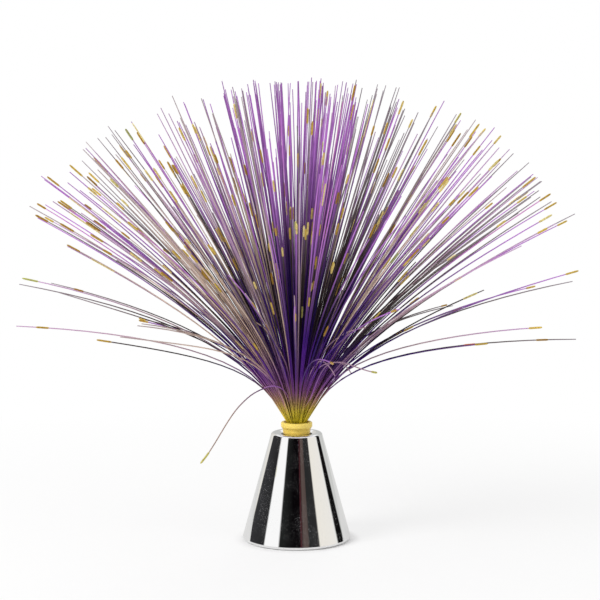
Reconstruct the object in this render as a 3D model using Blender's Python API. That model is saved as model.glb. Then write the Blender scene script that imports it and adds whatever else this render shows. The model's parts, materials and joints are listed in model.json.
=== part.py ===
"""Battery fibre optic lamp: a mirror-bright cone that holds cells, a switch and a light board,
and a spray of optical strands that plugs into a socket in the cone's top.

Metres, +Z up, origin on the floor under the middle of the cone, and the front faces -Y.
"""

import math
import random

import bmesh
import bpy
import numpy as np
from mathutils import Matrix, Vector

MM = 0.001

# Clearances
SEAT_GAP = 0.3 * MM
SLIDE_GAP = 0.3 * MM
DOOR_GAP = 0.35 * MM
OVERRUN = 1.0 * MM
MERGE_SHARE = 0.001
SHARP_ANGLE = math.radians(35.0)

# Cone shell, drawn from sheet
SHELL_FOOT_RADIUS = 38.4 * MM
SHELL_TOP_RADIUS = 17.9 * MM
SHELL_HEIGHT = 76.6 * MM
SHELL_WALL = 0.8 * MM
SHOULDER_ROUND = 2.2 * MM
HEM_ROUND = 1.7 * MM
HEM_RISE = 3.6 * MM
LIP_WIDTH = 3.4 * MM
SHELL_STAND = 0.4 * MM
RIM_SEAT_DEPTH = 2.0 * MM
TOP_LAND = 1.4 * MM

# Strand bundle and spray
BUNDLE_RADIUS = 7.3 * MM
CORE_RADIUS = 2.9 * MM
SLUG_LENGTH = 21.4 * MM
STRAND_RADIUS = 0.25 * MM
ROOT_MARGIN = 0.33 * MM
ROOT_PITCH = 0.68 * MM
ROW_PITCH = 0.59 * MM
CORE_STRANDS = 24
TIP_RADIUS = 0.62 * MM
TIP_LENGTH = 9.0 * MM
TIP_STEP = 0.4 * MM
STRAND_LENGTH = 244.0 * MM
SPRAY_RADIUS = 198.0 * MM
BEND_START = 20.0 * MM
STRAY_START = 19.0 * MM
BEND_LENGTH = 60.0 * MM
ROOT_DEPTH = 0.6 * MM
SECTOR_SIZE = math.radians(45.0)
SECTOR_COUNT = round(math.tau / SECTOR_SIZE)
STRAND_SIDES = 3
STRAND_STEPS = 24
REACH_ROUNDS = 20

# Collar, the moulded plug round the bundle
COLLAR_WALL = 1.5 * MM
COLLAR_BORE_GAP = 0.15 * MM
SPIGOT_LENGTH = 15.8 * MM
COLLAR_SHOULDER = 0.85 * MM
COLLAR_BODY_HEIGHT = 5.0 * MM
FLANGE_REACH = 1.35 * MM
FLANGE_HEIGHT = 3.2 * MM
FLANGE_ROUND = 1.1 * MM
MOUTH_FLARE = 1.6 * MM
MOUTH_DEPTH = 5.0 * MM
RING_GROOVE_DEPTH = 0.8 * MM
RING_GROOVE_HEIGHT = 1.6 * MM
RING_GROOVE_RISE = 4.0 * MM
RING_GAP = 0.12 * MM

# Socket sleeve, its nut and its bracket
SLEEVE_WALL = 0.85 * MM
SLEEVE_RIM_REACH = 0.95 * MM
SLEEVE_RIM_HEIGHT = 0.6 * MM
SLEEVE_LENGTH = 17.4 * MM
LEDGE_REACH = 1.3 * MM
LEDGE_HEIGHT = 1.2 * MM
NUT_WALL = 2.7 * MM
NUT_HEIGHT = 3.6 * MM
NUT_NOTCHES = 6
NUT_NOTCH_WIDTH = 2.4 * MM
NUT_NOTCH_DEPTH = 1.0 * MM
BRACKET_PLATE_HEIGHT = 2.2 * MM
BRACKET_PLATE_REACH = 5.4 * MM
LEG_WIDTH = 6.4 * MM
LEG_TOP_THICKNESS = 2.2 * MM
LEG_FOOT_THICKNESS = 4.6 * MM
LEG_FOOT_RISE = 5.0 * MM

# Light board and what it carries
LAMP_ROOM = 10.9 * MM
BOSS_GAP = 0.35 * MM
BOARD_THICKNESS = 1.6 * MM
BOARD_HALF_WIDTH = 12.0 * MM
BOARD_END_MARGIN = 3.2 * MM
LED_RADIUS = 2.5 * MM
LED_RIM_REACH = 0.4 * MM
LED_RIM_HEIGHT = 1.0 * MM
LED_HEIGHT = 8.6 * MM
LED_CIRCLE = 4.3 * MM
LED_COUNT = 3
REFLECTOR_WALL = 1.0 * MM
REFLECTOR_FLOOR = 1.2 * MM
REFLECTOR_MOUTH_GAP = 0.6 * MM
CHIP_SIZE = (6.0 * MM, 5.0 * MM, 1.6 * MM)
CHIP_BEVEL = 0.25 * MM
CAPACITOR_RADIUS = 2.5 * MM
CAPACITOR_HEIGHT = 6.0 * MM
CAPACITOR_ROUND = 0.4 * MM
CAPACITOR_PLACE = (-6.0 * MM, -8.5 * MM)
RESISTOR_SIZE = (3.2 * MM, 1.6 * MM, 0.6 * MM)
RESISTOR_PITCH = 3.4 * MM
RESISTOR_ROW = (5.5 * MM, -8.0 * MM)
RESISTOR_COUNT = 3

# Base plate with its battery box and posts
PLATE_THICKNESS = 1.7 * MM
PLATE_EDGE_GAP = 0.4 * MM
SPIGOT_RIM_WALL = 1.4 * MM
SPIGOT_RIM_HEIGHT = 3.2 * MM
BOX_WALL = 1.2 * MM
DIVIDER_WIDTH = 0.8 * MM
DIVIDER_HEIGHT = 2.4 * MM
POST_RADIUS = 3.3 * MM
POST_BORE_RADIUS = 2.35 * MM
POST_END_WALL = 2.0 * MM
POST_OVERLAP = 0.5 * MM
BOSS_RADIUS = 2.6 * MM
SCREW_HEAD_RADIUS = 2.05 * MM
SCREW_HEAD_HEIGHT = 1.4 * MM
SCREW_SHANK_RADIUS = 0.95 * MM
SCREW_BITE = 5.0 * MM
SCREW_HOLE_GAP = 0.2 * MM
SCREW_SLOT_WIDTH = 0.6 * MM
SCREW_SLOT_DEPTH = 0.6 * MM
FOOT_RADIUS = 3.1 * MM
FOOT_INSET = 4.0 * MM
FOOT_RECESS = 0.7 * MM
FOOT_BEVEL = 0.35 * MM
FOOT_COUNT = 4

# Cells and contacts
CELL_RADIUS = 5.25 * MM
CELL_BODY_LENGTH = 43.3 * MM
CELL_BUTTON_RADIUS = 1.9 * MM
CELL_BUTTON_LENGTH = 1.2 * MM
CELL_EDGE = 0.5 * MM
CELL_SPACING = 0.4 * MM
CELL_COUNT = 3
CONTACT_THICKNESS = 0.4 * MM
CONTACT_HEIGHT = 8.8 * MM
CONTACT_MARGIN = 0.7 * MM
TAB_WIDTH = 3.0 * MM
TAB_RISE = 3.2 * MM
SPRING_WIRE_RADIUS = 0.3 * MM
SPRING_BASE_RADIUS = 3.6 * MM
SPRING_TIP_RADIUS = 2.3 * MM
SPRING_LENGTH = 2.6 * MM
SPRING_TURNS = 2
SPRING_TURN_POINTS = 9

# Battery door
DOOR_THICKNESS = 1.6 * MM
HINGE_RADIUS = 1.45 * MM
HINGE_LENGTH = 15.0 * MM
PIN_RADIUS = 0.75 * MM
PIN_LENGTH = 1.6 * MM
LUG_WALL = 1.9 * MM
LUG_HEIGHT = 1.0 * MM
DOOR_TONGUE_WIDTH = 9.0 * MM
DOOR_TONGUE_THICKNESS = 1.0 * MM
DOOR_TONGUE_RISE = 1.6 * MM
DOOR_NOTCH_RADIUS = 4.5 * MM
DOOR_NOTCH_DEPTH = 0.5 * MM
DOOR_RIB_COUNT = 4
DOOR_RIB_PITCH = 1.7 * MM
DOOR_RIB_WIDTH = 0.6 * MM
DOOR_RIB_DEPTH = 0.35 * MM
DOOR_RIB_LENGTH = 9.0 * MM

# Slide switch
SWITCH_PLACE = (10.4 * MM, 22.3 * MM)
SWITCH_BODY = (9.4 * MM, 4.8 * MM, 4.2 * MM)
SWITCH_CAVITY_MARGIN = 0.8 * MM
SWITCH_CAVITY_HEIGHT = 1.6 * MM
SWITCH_TRAVEL = 2.4 * MM
LEVER_SIZE = (3.0 * MM, 2.4 * MM)
LEVER_RECESS = 0.3 * MM
LEVER_RIB_WIDTH = 0.4 * MM
TERMINAL_SIZE = (1.0 * MM, 0.5 * MM, 1.8 * MM)
TERMINAL_PITCH = 2.6 * MM

# Hook-up wire
WIRE_RADIUS = 0.6 * MM
WIRE_STEP = 4.0 * MM
WIRE_REACH = 3.0 * MM
WIRE_HOP = 4.0 * MM
RED_BEND_SHARE = 0.8
BLACK_BEND_SHARE = 0.6
BLACK_SWING_SHARE = 0.4
BLACK_RISE_SHARE = 1.5
SWITCH_BEND_SHARE = 0.85
SWITCH_RISE_SHARE = 0.9
SWITCH_PAD_SHARE = 1.8

ROUND_STEPS = 32
SHELL_STEPS = 40
SMALL_STEPS = 14
CELL_STEPS = 16
ARC_STEPS = 4
FINE_ARC_STEPS = 2
HEM_STEPS = 5
WIRE_SIDES = 6
COIL_SIDES = 5
RING_SIDES = 6

# Heights and radii that follow from the sizes above
SHELL_TOP = SHELL_STAND + SHELL_HEIGHT
SHELL_SLOPE = (SHELL_FOOT_RADIUS - SHELL_TOP_RADIUS) / SHELL_HEIGHT
BORE_RADIUS = BUNDLE_RADIUS + COLLAR_BORE_GAP
SPIGOT_RADIUS = BORE_RADIUS + COLLAR_WALL
SLEEVE_BORE = SPIGOT_RADIUS + SLIDE_GAP
SLEEVE_RADIUS = SLEEVE_BORE + SLEEVE_WALL
SOCKET_HOLE_RADIUS = SLEEVE_RADIUS + SEAT_GAP
RIM_SEAT_FLOOR = SHELL_TOP - RIM_SEAT_DEPTH
SHELL_TILT = math.atan(SHELL_SLOPE)
SHOULDER_REACH = SHOULDER_ROUND * math.tan((math.pi / 2 - SHELL_TILT) / 2)
RIM_SEAT_RADIUS = SLEEVE_RADIUS + SLEEVE_RIM_REACH + SEAT_GAP
DISH_RADIUS = SHELL_TOP_RADIUS - SHOULDER_REACH - TOP_LAND
SLEEVE_RIM_BASE = RIM_SEAT_FLOOR + SEAT_GAP
SLEEVE_TOP = SLEEVE_RIM_BASE + SLEEVE_RIM_HEIGHT
SLEEVE_FOOT = SLEEVE_TOP - SLEEVE_LENGTH
COLLAR_SEAT = SLEEVE_TOP + SEAT_GAP
COLLAR_FOOT = COLLAR_SEAT - SPIGOT_LENGTH
COLLAR_RADIUS = SPIGOT_RADIUS + COLLAR_SHOULDER
FLANGE_RADIUS = COLLAR_RADIUS + FLANGE_REACH
COLLAR_TOP = COLLAR_SEAT + COLLAR_BODY_HEIGHT + FLANGE_HEIGHT
SLUG_FOOT = COLLAR_FOOT + SEAT_GAP
SLUG_TOP = SLUG_FOOT + SLUG_LENGTH
LIP_HEIGHT = SHELL_STAND + HEM_RISE
HEM_INNER_RADIUS = SHELL_FOOT_RADIUS - 2 * HEM_ROUND
LIP_RADIUS = HEM_INNER_RADIUS - LIP_WIDTH
PLATE_TOP = LIP_HEIGHT - SEAT_GAP
PLATE_FOOT = PLATE_TOP - PLATE_THICKNESS
PLATE_RADIUS = HEM_INNER_RADIUS - PLATE_EDGE_GAP
RIM_RADIUS = LIP_RADIUS - PLATE_EDGE_GAP
CELL_LENGTH = CELL_BODY_LENGTH + CELL_BUTTON_LENGTH
CELL_PITCH = 2 * CELL_RADIUS + CELL_SPACING
BAY_HALF_WIDTH = CELL_COUNT * CELL_PITCH / 2
CONTACT_SPAN = CELL_LENGTH + SPRING_LENGTH + SEAT_GAP
BAY_HALF_LENGTH = CONTACT_SPAN / 2 + CONTACT_THICKNESS + SEAT_GAP
CELL_AXIS = PLATE_TOP + SEAT_GAP + CELL_SPACING + CELL_RADIUS
BAY_TOP = CELL_AXIS + CELL_RADIUS + CELL_SPACING
BOX_TOP = BAY_TOP + BOX_WALL
BOX_HALF_LENGTH = BAY_HALF_LENGTH + BOX_WALL
BOX_HALF_WIDTH = BAY_HALF_WIDTH + BOX_WALL
POST_PLACE = BOX_HALF_WIDTH + POST_RADIUS - POST_OVERLAP
HINGE_PLACE = -(BOX_HALF_LENGTH + HINGE_RADIUS + DOOR_GAP)
HINGE_HEIGHT = PLATE_FOOT + HINGE_RADIUS
DOOR_START = HINGE_PLACE + math.hypot(HINGE_RADIUS + DOOR_GAP + SEAT_GAP, HINGE_RADIUS)
DOOR_END = BOX_HALF_LENGTH
DOOR_HALF_WIDTH = BAY_HALF_WIDTH
SWITCH_FLOOR = PLATE_TOP + SEAT_GAP
BRACKET_TOP = RIM_SEAT_FLOOR - SHELL_WALL - SEAT_GAP
# The board hangs low enough for the lamps, and where the cone is wide enough for the bracket's bosses
LEG_REACH = POST_PLACE + BOSS_RADIUS + BOSS_GAP + SHELL_WALL
LEG_LIMIT = SHELL_TOP - (LEG_REACH - SHELL_TOP_RADIUS) / SHELL_SLOPE - LEG_FOOT_RISE - OVERRUN
BOARD_TOP = min(SLEEVE_FOOT - LAMP_ROOM, LEG_LIMIT - SEAT_GAP)
BOARD_FOOT = BOARD_TOP - BOARD_THICKNESS
POST_TOP = BOARD_FOOT - SEAT_GAP
BRACKET_FOOT = BOARD_TOP + SEAT_GAP
NUT_TOP = BRACKET_TOP - BRACKET_PLATE_HEIGHT - SEAT_GAP
NUT_BORE = SLEEVE_RADIUS + SEAT_GAP
NUT_RADIUS = NUT_BORE + NUT_WALL

# How the strands lean. Angles are from upright, and lengths are shares of STRAND_LENGTH.
DENSE_SHARE = 0.93
DENSE_ANGLE = math.radians(60.0)
WIDEST_ANGLE = math.radians(84.0)
ROOT_LEAN_SHARE = 0.53
SKIRT_BEND_SHARE = 0.62
SAG_ANGLE = math.radians(9.0)
REACH_ANGLE = math.radians(74.0)
SKIRT_SHARE = 0.985
WAVE_ANGLE = math.radians(4.4)
WAVES = 9
WAVE_TWIST = 16.0
GOLDEN_SHARE = (math.sqrt(5) - 1) / 2
GOLDEN_ANGLE = math.tau * (1 - GOLDEN_SHARE)
TIPPED_SHARE = 0.2
SHORT_SHARES = (0.52, 0.96)
FULL_SHARES = (0.93, 1.0)
PATH_SHARES = (0.1, 0.3)
SEED = 11

# Stray strands: azimuth, final lean, bend length and length
STRAYS = (
    (math.radians(210.0), math.radians(150.0), 17.0 * MM, 108.0 * MM),
    (math.radians(296.0), math.radians(118.0), 30.0 * MM, 78.0 * MM),
    (math.radians(322.0), math.radians(112.0), 36.0 * MM, 92.0 * MM),
    (math.radians(95.0), math.radians(124.0), 34.0 * MM, 104.0 * MM),
)
STRAY_STEPS = 7


def material(name, colour, roughness, metallic=0.0):
    """A Principled material with one colour."""
    made = bpy.data.materials.new(name)
    made.use_nodes = True
    shader = made.node_tree.nodes["Principled BSDF"]
    shader.inputs["Base Color"].default_value = (*colour, 1.0)
    shader.inputs["Roughness"].default_value = roughness
    shader.inputs["Metallic"].default_value = metallic
    made.diffuse_color = (*colour, 1.0)
    return made


def finishes():
    """The lamp's materials by name."""
    return {
        "chrome": material("chrome", (0.82, 0.82, 0.83), 0.05, 1.0),
        "collar": material("collar_yellow", (0.80, 0.60, 0.20), 0.4),
        "strand": material("strand_violet", (0.24, 0.10, 0.36), 0.3),
        "black": material("black_plastic", (0.03, 0.03, 0.035), 0.5),
        "white": material("white_plastic", (0.85, 0.85, 0.83), 0.4),
        "lens": material("led_lens", (0.85, 0.78, 0.90), 0.1),
        "board": material("board_green", (0.04, 0.22, 0.09), 0.5),
        "chip": material("chip_black", (0.02, 0.02, 0.02), 0.4),
        "can": material("capacitor_blue", (0.05, 0.09, 0.28), 0.35),
        "cell": material("cell_sleeve", (0.10, 0.30, 0.42), 0.35),
        "nickel": material("nickel", (0.70, 0.68, 0.62), 0.25, 1.0),
        "steel": material("screw_steel", (0.60, 0.60, 0.60), 0.3, 1.0),
        "rubber": material("foot_rubber", (0.05, 0.05, 0.05), 0.9),
        "red": material("wire_red", (0.55, 0.03, 0.03), 0.45),
        "ring": material("ring_rubber", (0.08, 0.07, 0.06), 0.8),
    }


def add_object(name, mesh, finish, helper=False):
    """Links a mesh as an object. A helper only cuts or joins, and isn't rendered."""
    made = bpy.data.objects.new(name, mesh)
    bpy.context.scene.collection.objects.link(made)
    if finish is not None:
        mesh.materials.append(finish)
    if helper:
        made.hide_render = True
        made.display_type = "WIRE"
    return made


def mesh_from(name, bm):
    """Writes a bmesh as a mesh, faces out, smooth with sharp edges kept."""
    bmesh.ops.recalc_face_normals(bm, faces=bm.faces)
    mesh = bpy.data.meshes.new(name)
    bm.to_mesh(mesh)
    bm.free()
    mesh.shade_smooth()
    mesh.set_sharp_from_angle(angle=SHARP_ANGLE)
    return mesh


def turned(name, profile, finish, steps=ROUND_STEPS, helper=False):
    """Spins a closed outline of (radius, height) points round Z."""
    bm = bmesh.new()
    points = [bm.verts.new((r, 0.0, z)) for r, z in profile]
    edges = [bm.edges.new(pair) for pair in zip(points, points[1:] + points[:1])]
    bmesh.ops.spin(
        bm,
        geom=points + edges,
        cent=(0.0, 0.0, 0.0),
        axis=(0.0, 0.0, 1.0),
        angle=math.tau,
        steps=steps,
        use_merge=True,
    )
    bmesh.ops.remove_doubles(bm, verts=bm.verts, dist=SEAT_GAP * MERGE_SHARE)
    flat = [e for e in bm.edges if len(e.link_faces) == 0]
    bmesh.ops.delete(bm, geom=flat, context="EDGES")
    return add_object(name, mesh_from(name, bm), finish, helper)


def block(name, low, high, finish, bevel=0.0, helper=False):
    """A box between two corners, with its edges bevelled if asked."""
    bm = bmesh.new()
    bmesh.ops.create_cube(bm, size=1.0)
    size = Vector(high) - Vector(low)
    bmesh.ops.scale(bm, vec=size, verts=bm.verts)
    bmesh.ops.translate(bm, vec=(Vector(low) + Vector(high)) / 2, verts=bm.verts)
    if bevel:
        bmesh.ops.bevel(bm, geom=bm.edges, offset=bevel, segments=1, affect="EDGES")
    return add_object(name, mesh_from(name, bm), finish, helper)


def rod(name, start, end, radius, finish, steps=SMALL_STEPS, helper=False):
    """A cylinder from one point to another."""
    axis = Vector(end) - Vector(start)
    turn = Vector((0.0, 0.0, 1.0)).rotation_difference(axis).to_matrix().to_4x4()
    bm = bmesh.new()
    bmesh.ops.create_cone(
        bm,
        cap_ends=True,
        segments=steps,
        radius1=radius,
        radius2=radius,
        depth=axis.length,
        matrix=Matrix.Translation((Vector(start) + Vector(end)) / 2) @ turn,
    )
    return add_object(name, mesh_from(name, bm), finish, helper)


def combine(target, other, operation):
    """Cuts or joins a helper into an object with an exact Boolean."""
    step = target.modifiers.new(other.name, "BOOLEAN")
    step.operation = operation
    step.solver = "EXACT"
    step.object = other
    return target


def cut(target, *cutters):
    for cutter in cutters:
        combine(target, cutter, "DIFFERENCE")
    return target


def fuse(target, *helpers):
    for helper in helpers:
        combine(target, helper, "UNION")
    return target


def arc(centre, radius, start, end, steps=ARC_STEPS):
    """Points of an arc in the (radius, height) plane, angles in degrees."""
    angles = np.radians(np.linspace(start, end, steps + 1))
    return [(centre[0] + radius * math.cos(a), centre[1] + radius * math.sin(a)) for a in angles]


def offset_path(path, distance):
    """The path moved sideways to its right by a distance, corners mitred."""
    places = [Vector(p) for p in path]
    moved = []
    for i, here in enumerate(places):
        before = (here - places[i - 1]).normalized() if i else None
        after = (places[i + 1] - here).normalized() if i + 1 < len(places) else None
        first, second = before or after, after or before
        side = Vector((first.y, -first.x)) + Vector((second.y, -second.x))
        side.normalize()
        spread = side.dot(Vector((first.y, -first.x)))
        moved.append(tuple(here + side * (distance / spread)))
    return moved


def shell_radius(height):
    """The cone's outer radius at a height above the floor."""
    return SHELL_TOP_RADIUS + (SHELL_TOP - height) * SHELL_SLOPE


def make_shell(finish):
    """The drawn cone: a top dished round its hole, a rounded shoulder, and a hem with a lip."""
    tilt = math.degrees(SHELL_TILT)
    shoulder = (SHELL_TOP_RADIUS - SHOULDER_REACH, SHELL_TOP - SHOULDER_ROUND)
    hem = (SHELL_FOOT_RADIUS - HEM_ROUND, SHELL_STAND + HEM_ROUND)
    seat = [(SOCKET_HOLE_RADIUS, RIM_SEAT_FLOOR), (RIM_SEAT_RADIUS, RIM_SEAT_FLOOR)]
    path = seat + [(DISH_RADIUS, SHELL_TOP)]
    path += arc(shoulder, SHOULDER_ROUND, 90.0, tilt)
    path += arc(hem, HEM_ROUND, tilt, -180.0, HEM_STEPS)
    path += [(HEM_INNER_RADIUS, LIP_HEIGHT), (LIP_RADIUS, LIP_HEIGHT)]
    profile = path + offset_path(path, SHELL_WALL)[::-1]
    return turned("cone_shell", profile, finish, SHELL_STEPS)


def make_sleeve(finish):
    """The socket sleeve, dropped in from above: its rim lies in the cone's seat, and a ledge ends its bore."""
    ledge = SLEEVE_BORE - LEDGE_REACH
    profile = [
        (ledge, SLEEVE_FOOT),
        (SLEEVE_RADIUS, SLEEVE_FOOT),
        (SLEEVE_RADIUS, SLEEVE_RIM_BASE),
        (SLEEVE_RADIUS + SLEEVE_RIM_REACH, SLEEVE_RIM_BASE),
        (SLEEVE_RADIUS + SLEEVE_RIM_REACH, SLEEVE_TOP),
        (SLEEVE_BORE, SLEEVE_TOP),
        (SLEEVE_BORE, SLEEVE_FOOT + LEDGE_HEIGHT),
        (ledge, SLEEVE_FOOT + LEDGE_HEIGHT),
    ]
    return turned("socket_sleeve", profile, finish)


def make_nut(finish):
    """The ring nut under the bracket, with spanner notches."""
    foot = NUT_TOP - NUT_HEIGHT
    profile = [(NUT_BORE, foot), (NUT_RADIUS, foot), (NUT_RADIUS, NUT_TOP), (NUT_BORE, NUT_TOP)]
    nut = turned("ring_nut", profile, finish)
    for i in range(NUT_NOTCHES):
        notch = block(
            f"nut_notch_{i}",
            (NUT_RADIUS - NUT_NOTCH_DEPTH, -NUT_NOTCH_WIDTH / 2, foot - OVERRUN),
            (NUT_RADIUS + OVERRUN, NUT_NOTCH_WIDTH / 2, NUT_TOP + OVERRUN),
            None,
            helper=True,
        )
        notch.rotation_euler.z = math.tau * (i + 0.5) / NUT_NOTCHES
        cut(nut, notch)
    return nut


def leg_mesh(side):
    """A leg that splays from the bracket's plate out to its screw boss."""
    plate_edge = NUT_BORE + BRACKET_PLATE_REACH
    top = BRACKET_TOP - BRACKET_PLATE_HEIGHT / 2
    foot = BRACKET_FOOT + LEG_FOOT_RISE
    half = LEG_WIDTH / 2
    inner_top = plate_edge - LEG_TOP_THICKNESS
    inner_foot = POST_PLACE - LEG_FOOT_THICKNESS / 2
    outer_foot = POST_PLACE + LEG_FOOT_THICKNESS / 2
    corners = [(inner_top, top), (plate_edge, top), (outer_foot, foot), (inner_foot, foot)]
    bm = bmesh.new()
    face = bm.faces.new([bm.verts.new((-half, side * y, z)) for y, z in corners])
    grown = bmesh.ops.extrude_face_region(bm, geom=[face])["geom"]
    moved = [v for v in grown if isinstance(v, bmesh.types.BMVert)]
    bmesh.ops.translate(bm, vec=(2 * half, 0.0, 0.0), verts=moved)
    return mesh_from("leg", bm)


def make_bracket(finish):
    """The moulded bracket: a plate clamped under the cone's top, with two legs down to the board."""
    low = BRACKET_TOP - BRACKET_PLATE_HEIGHT
    reach = NUT_BORE + BRACKET_PLATE_REACH
    profile = [(NUT_BORE, low), (reach, low), (reach, BRACKET_TOP), (NUT_BORE, BRACKET_TOP)]
    bracket = turned("socket_bracket", profile, finish)
    for side in (-1, 1):
        leg = add_object(f"bracket_leg_{side}", leg_mesh(side), None, helper=True)
        place = (0.0, side * POST_PLACE)
        boss = rod(
            f"bracket_boss_{side}",
            (*place, BRACKET_FOOT),
            (*place, BRACKET_FOOT + LEG_FOOT_RISE + OVERRUN),
            BOSS_RADIUS,
            None,
            helper=True,
        )
        pilot = rod(
            f"bracket_pilot_{side}",
            (*place, BRACKET_FOOT - OVERRUN),
            (*place, BRACKET_FOOT + SCREW_BITE + SEAT_GAP),
            SCREW_SHANK_RADIUS + SCREW_HOLE_GAP / 2,
            None,
            helper=True,
        )
        fuse(bracket, leg, boss)
        cut(bracket, pilot)
    return bracket


def make_board(finish):
    """The light board: a long round-ended card held between the posts and the bracket."""
    end = POST_PLACE + BOARD_END_MARGIN - BOARD_HALF_WIDTH
    outline = []
    for centre, start in ((end, 0.0), (-end, math.pi)):
        for step in range(ARC_STEPS * 2 + 1):
            angle = start + math.pi * step / (ARC_STEPS * 2)
            x = BOARD_HALF_WIDTH * math.cos(angle)
            outline.append((x, centre + BOARD_HALF_WIDTH * math.sin(angle), BOARD_FOOT))
    bm = bmesh.new()
    face = bm.faces.new([bm.verts.new(p) for p in outline])
    grown = bmesh.ops.extrude_face_region(bm, geom=[face])["geom"]
    top = [v for v in grown if isinstance(v, bmesh.types.BMVert)]
    bmesh.ops.translate(bm, vec=(0.0, 0.0, BOARD_THICKNESS), verts=top)
    board = add_object("led_board", mesh_from("led_board", bm), finish)
    for side in (-1, 1):
        place = (0.0, side * POST_PLACE)
        low, high = (*place, BOARD_FOOT - OVERRUN), (*place, BOARD_TOP + OVERRUN)
        radius = SCREW_SHANK_RADIUS + SCREW_HOLE_GAP
        cut(board, rod(f"board_hole_{side}", low, high, radius, None, helper=True))
    return board


def make_leds(finish):
    """Three dome lamps in a triangle under the bundle's polished end."""
    floor = BOARD_TOP + SEAT_GAP
    crown = floor + LED_HEIGHT - LED_RADIUS
    for i in range(LED_COUNT):
        profile = [(0.0, floor), (LED_RADIUS + LED_RIM_REACH, floor)]
        profile.append((LED_RADIUS + LED_RIM_REACH, floor + LED_RIM_HEIGHT))
        profile.append((LED_RADIUS, floor + LED_RIM_HEIGHT))
        profile += arc((0.0, crown), LED_RADIUS, 0.0, 90.0)
        profile[-1] = (0.0, crown + LED_RADIUS)
        lamp = turned(f"led_{i + 1}", profile, finish, SMALL_STEPS)
        angle = math.tau * i / LED_COUNT + math.radians(90.0)
        lamp.location = (LED_CIRCLE * math.cos(angle), LED_CIRCLE * math.sin(angle), 0.0)


def make_reflector(finish):
    """The white cup that gathers the lamps' light into the sleeve."""
    low = BOARD_TOP + SEAT_GAP + LED_RIM_HEIGHT + SEAT_GAP
    top = SLEEVE_FOOT - SEAT_GAP
    mouth = SLEEVE_RADIUS - REFLECTOR_WALL
    throat = LED_CIRCLE + LED_RADIUS + REFLECTOR_MOUTH_GAP
    profile = [
        (0.0, low),
        (throat + REFLECTOR_WALL, low),
        (SLEEVE_RADIUS, top),
        (mouth, top),
        (throat, low + REFLECTOR_FLOOR),
        (0.0, low + REFLECTOR_FLOOR),
    ]
    cup = turned("led_reflector", profile, finish)
    for i in range(LED_COUNT):
        angle = math.tau * i / LED_COUNT + math.radians(90.0)
        place = (LED_CIRCLE * math.cos(angle), LED_CIRCLE * math.sin(angle))
        start, end = (*place, low - OVERRUN), (*place, low + REFLECTOR_FLOOR + OVERRUN)
        hole = rod(f"lamp_hole_{i}", start, end, LED_RADIUS + SLIDE_GAP, None, helper=True)
        cut(cup, hole)
    return cup


def make_board_parts(finish):
    """The controller, capacitor and series resistors on the board's underside."""
    top = BOARD_FOOT - SEAT_GAP
    x, y, z = CHIP_SIZE
    block("controller_chip", (-x / 2, -y / 2, top - z), (x / 2, y / 2, top), finish["chip"], CHIP_BEVEL)
    low = top - CAPACITOR_HEIGHT
    side = CAPACITOR_RADIUS - CAPACITOR_ROUND
    profile = [(0.0, low)]
    profile += arc((side, low + CAPACITOR_ROUND), CAPACITOR_ROUND, -90.0, 0.0, 2)
    profile += arc((side, top - CAPACITOR_ROUND), CAPACITOR_ROUND, 0.0, 90.0, 2)
    profile.append((0.0, top))
    can = turned("capacitor", profile, finish["can"], SMALL_STEPS)
    can.location = (*CAPACITOR_PLACE, 0.0)
    x, y, z = RESISTOR_SIZE
    for i in range(RESISTOR_COUNT):
        cx, cy = RESISTOR_ROW[0], RESISTOR_ROW[1] + i * RESISTOR_PITCH
        low, high = (cx - x / 2, cy - y / 2, top - z), (cx + x / 2, cy + y / 2, top)
        block(f"resistor_{i + 1}", low, high, finish["chip"])


def plate_disc(finish):
    """The base plate's disc with the round rim that centres it in the cone's lip."""
    rim_foot = PLATE_TOP + SPIGOT_RIM_HEIGHT
    profile = [
        (0.0, PLATE_FOOT),
        (PLATE_RADIUS, PLATE_FOOT),
        (PLATE_RADIUS, PLATE_TOP),
        (RIM_RADIUS, PLATE_TOP),
        (RIM_RADIUS, rim_foot),
        (RIM_RADIUS - SPIGOT_RIM_WALL, rim_foot),
        (RIM_RADIUS - SPIGOT_RIM_WALL, PLATE_TOP),
        (0.0, PLATE_TOP),
    ]
    return turned("base_plate", profile, finish, SHELL_STEPS)


def add_battery_box(plate):
    """Walls and roof round the cells, with ribs between them and the opening that the door closes."""
    middle = (PLATE_TOP + PLATE_FOOT) / 2
    outer = block(
        "box_outer",
        (-BOX_HALF_LENGTH, -BOX_HALF_WIDTH, middle),
        (BOX_HALF_LENGTH, BOX_HALF_WIDTH, BOX_TOP),
        None,
        helper=True,
    )
    bay = block(
        "box_bay",
        (-BAY_HALF_LENGTH, -BAY_HALF_WIDTH, PLATE_FOOT - OVERRUN),
        (BAY_HALF_LENGTH, BAY_HALF_WIDTH, BAY_TOP),
        None,
        helper=True,
    )
    fuse(plate, outer)
    cut(plate, bay)
    for i in range(CELL_COUNT - 1):
        y = (i + 1) * CELL_PITCH - BAY_HALF_WIDTH
        rib = block(
            f"box_rib_{i}",
            (-BAY_HALF_LENGTH / 2, y - DIVIDER_WIDTH / 2, BAY_TOP - DIVIDER_HEIGHT),
            (BAY_HALF_LENGTH / 2, y + DIVIDER_WIDTH / 2, BAY_TOP + BOX_WALL / 2),
            None,
            helper=True,
        )
        fuse(plate, rib)


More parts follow.
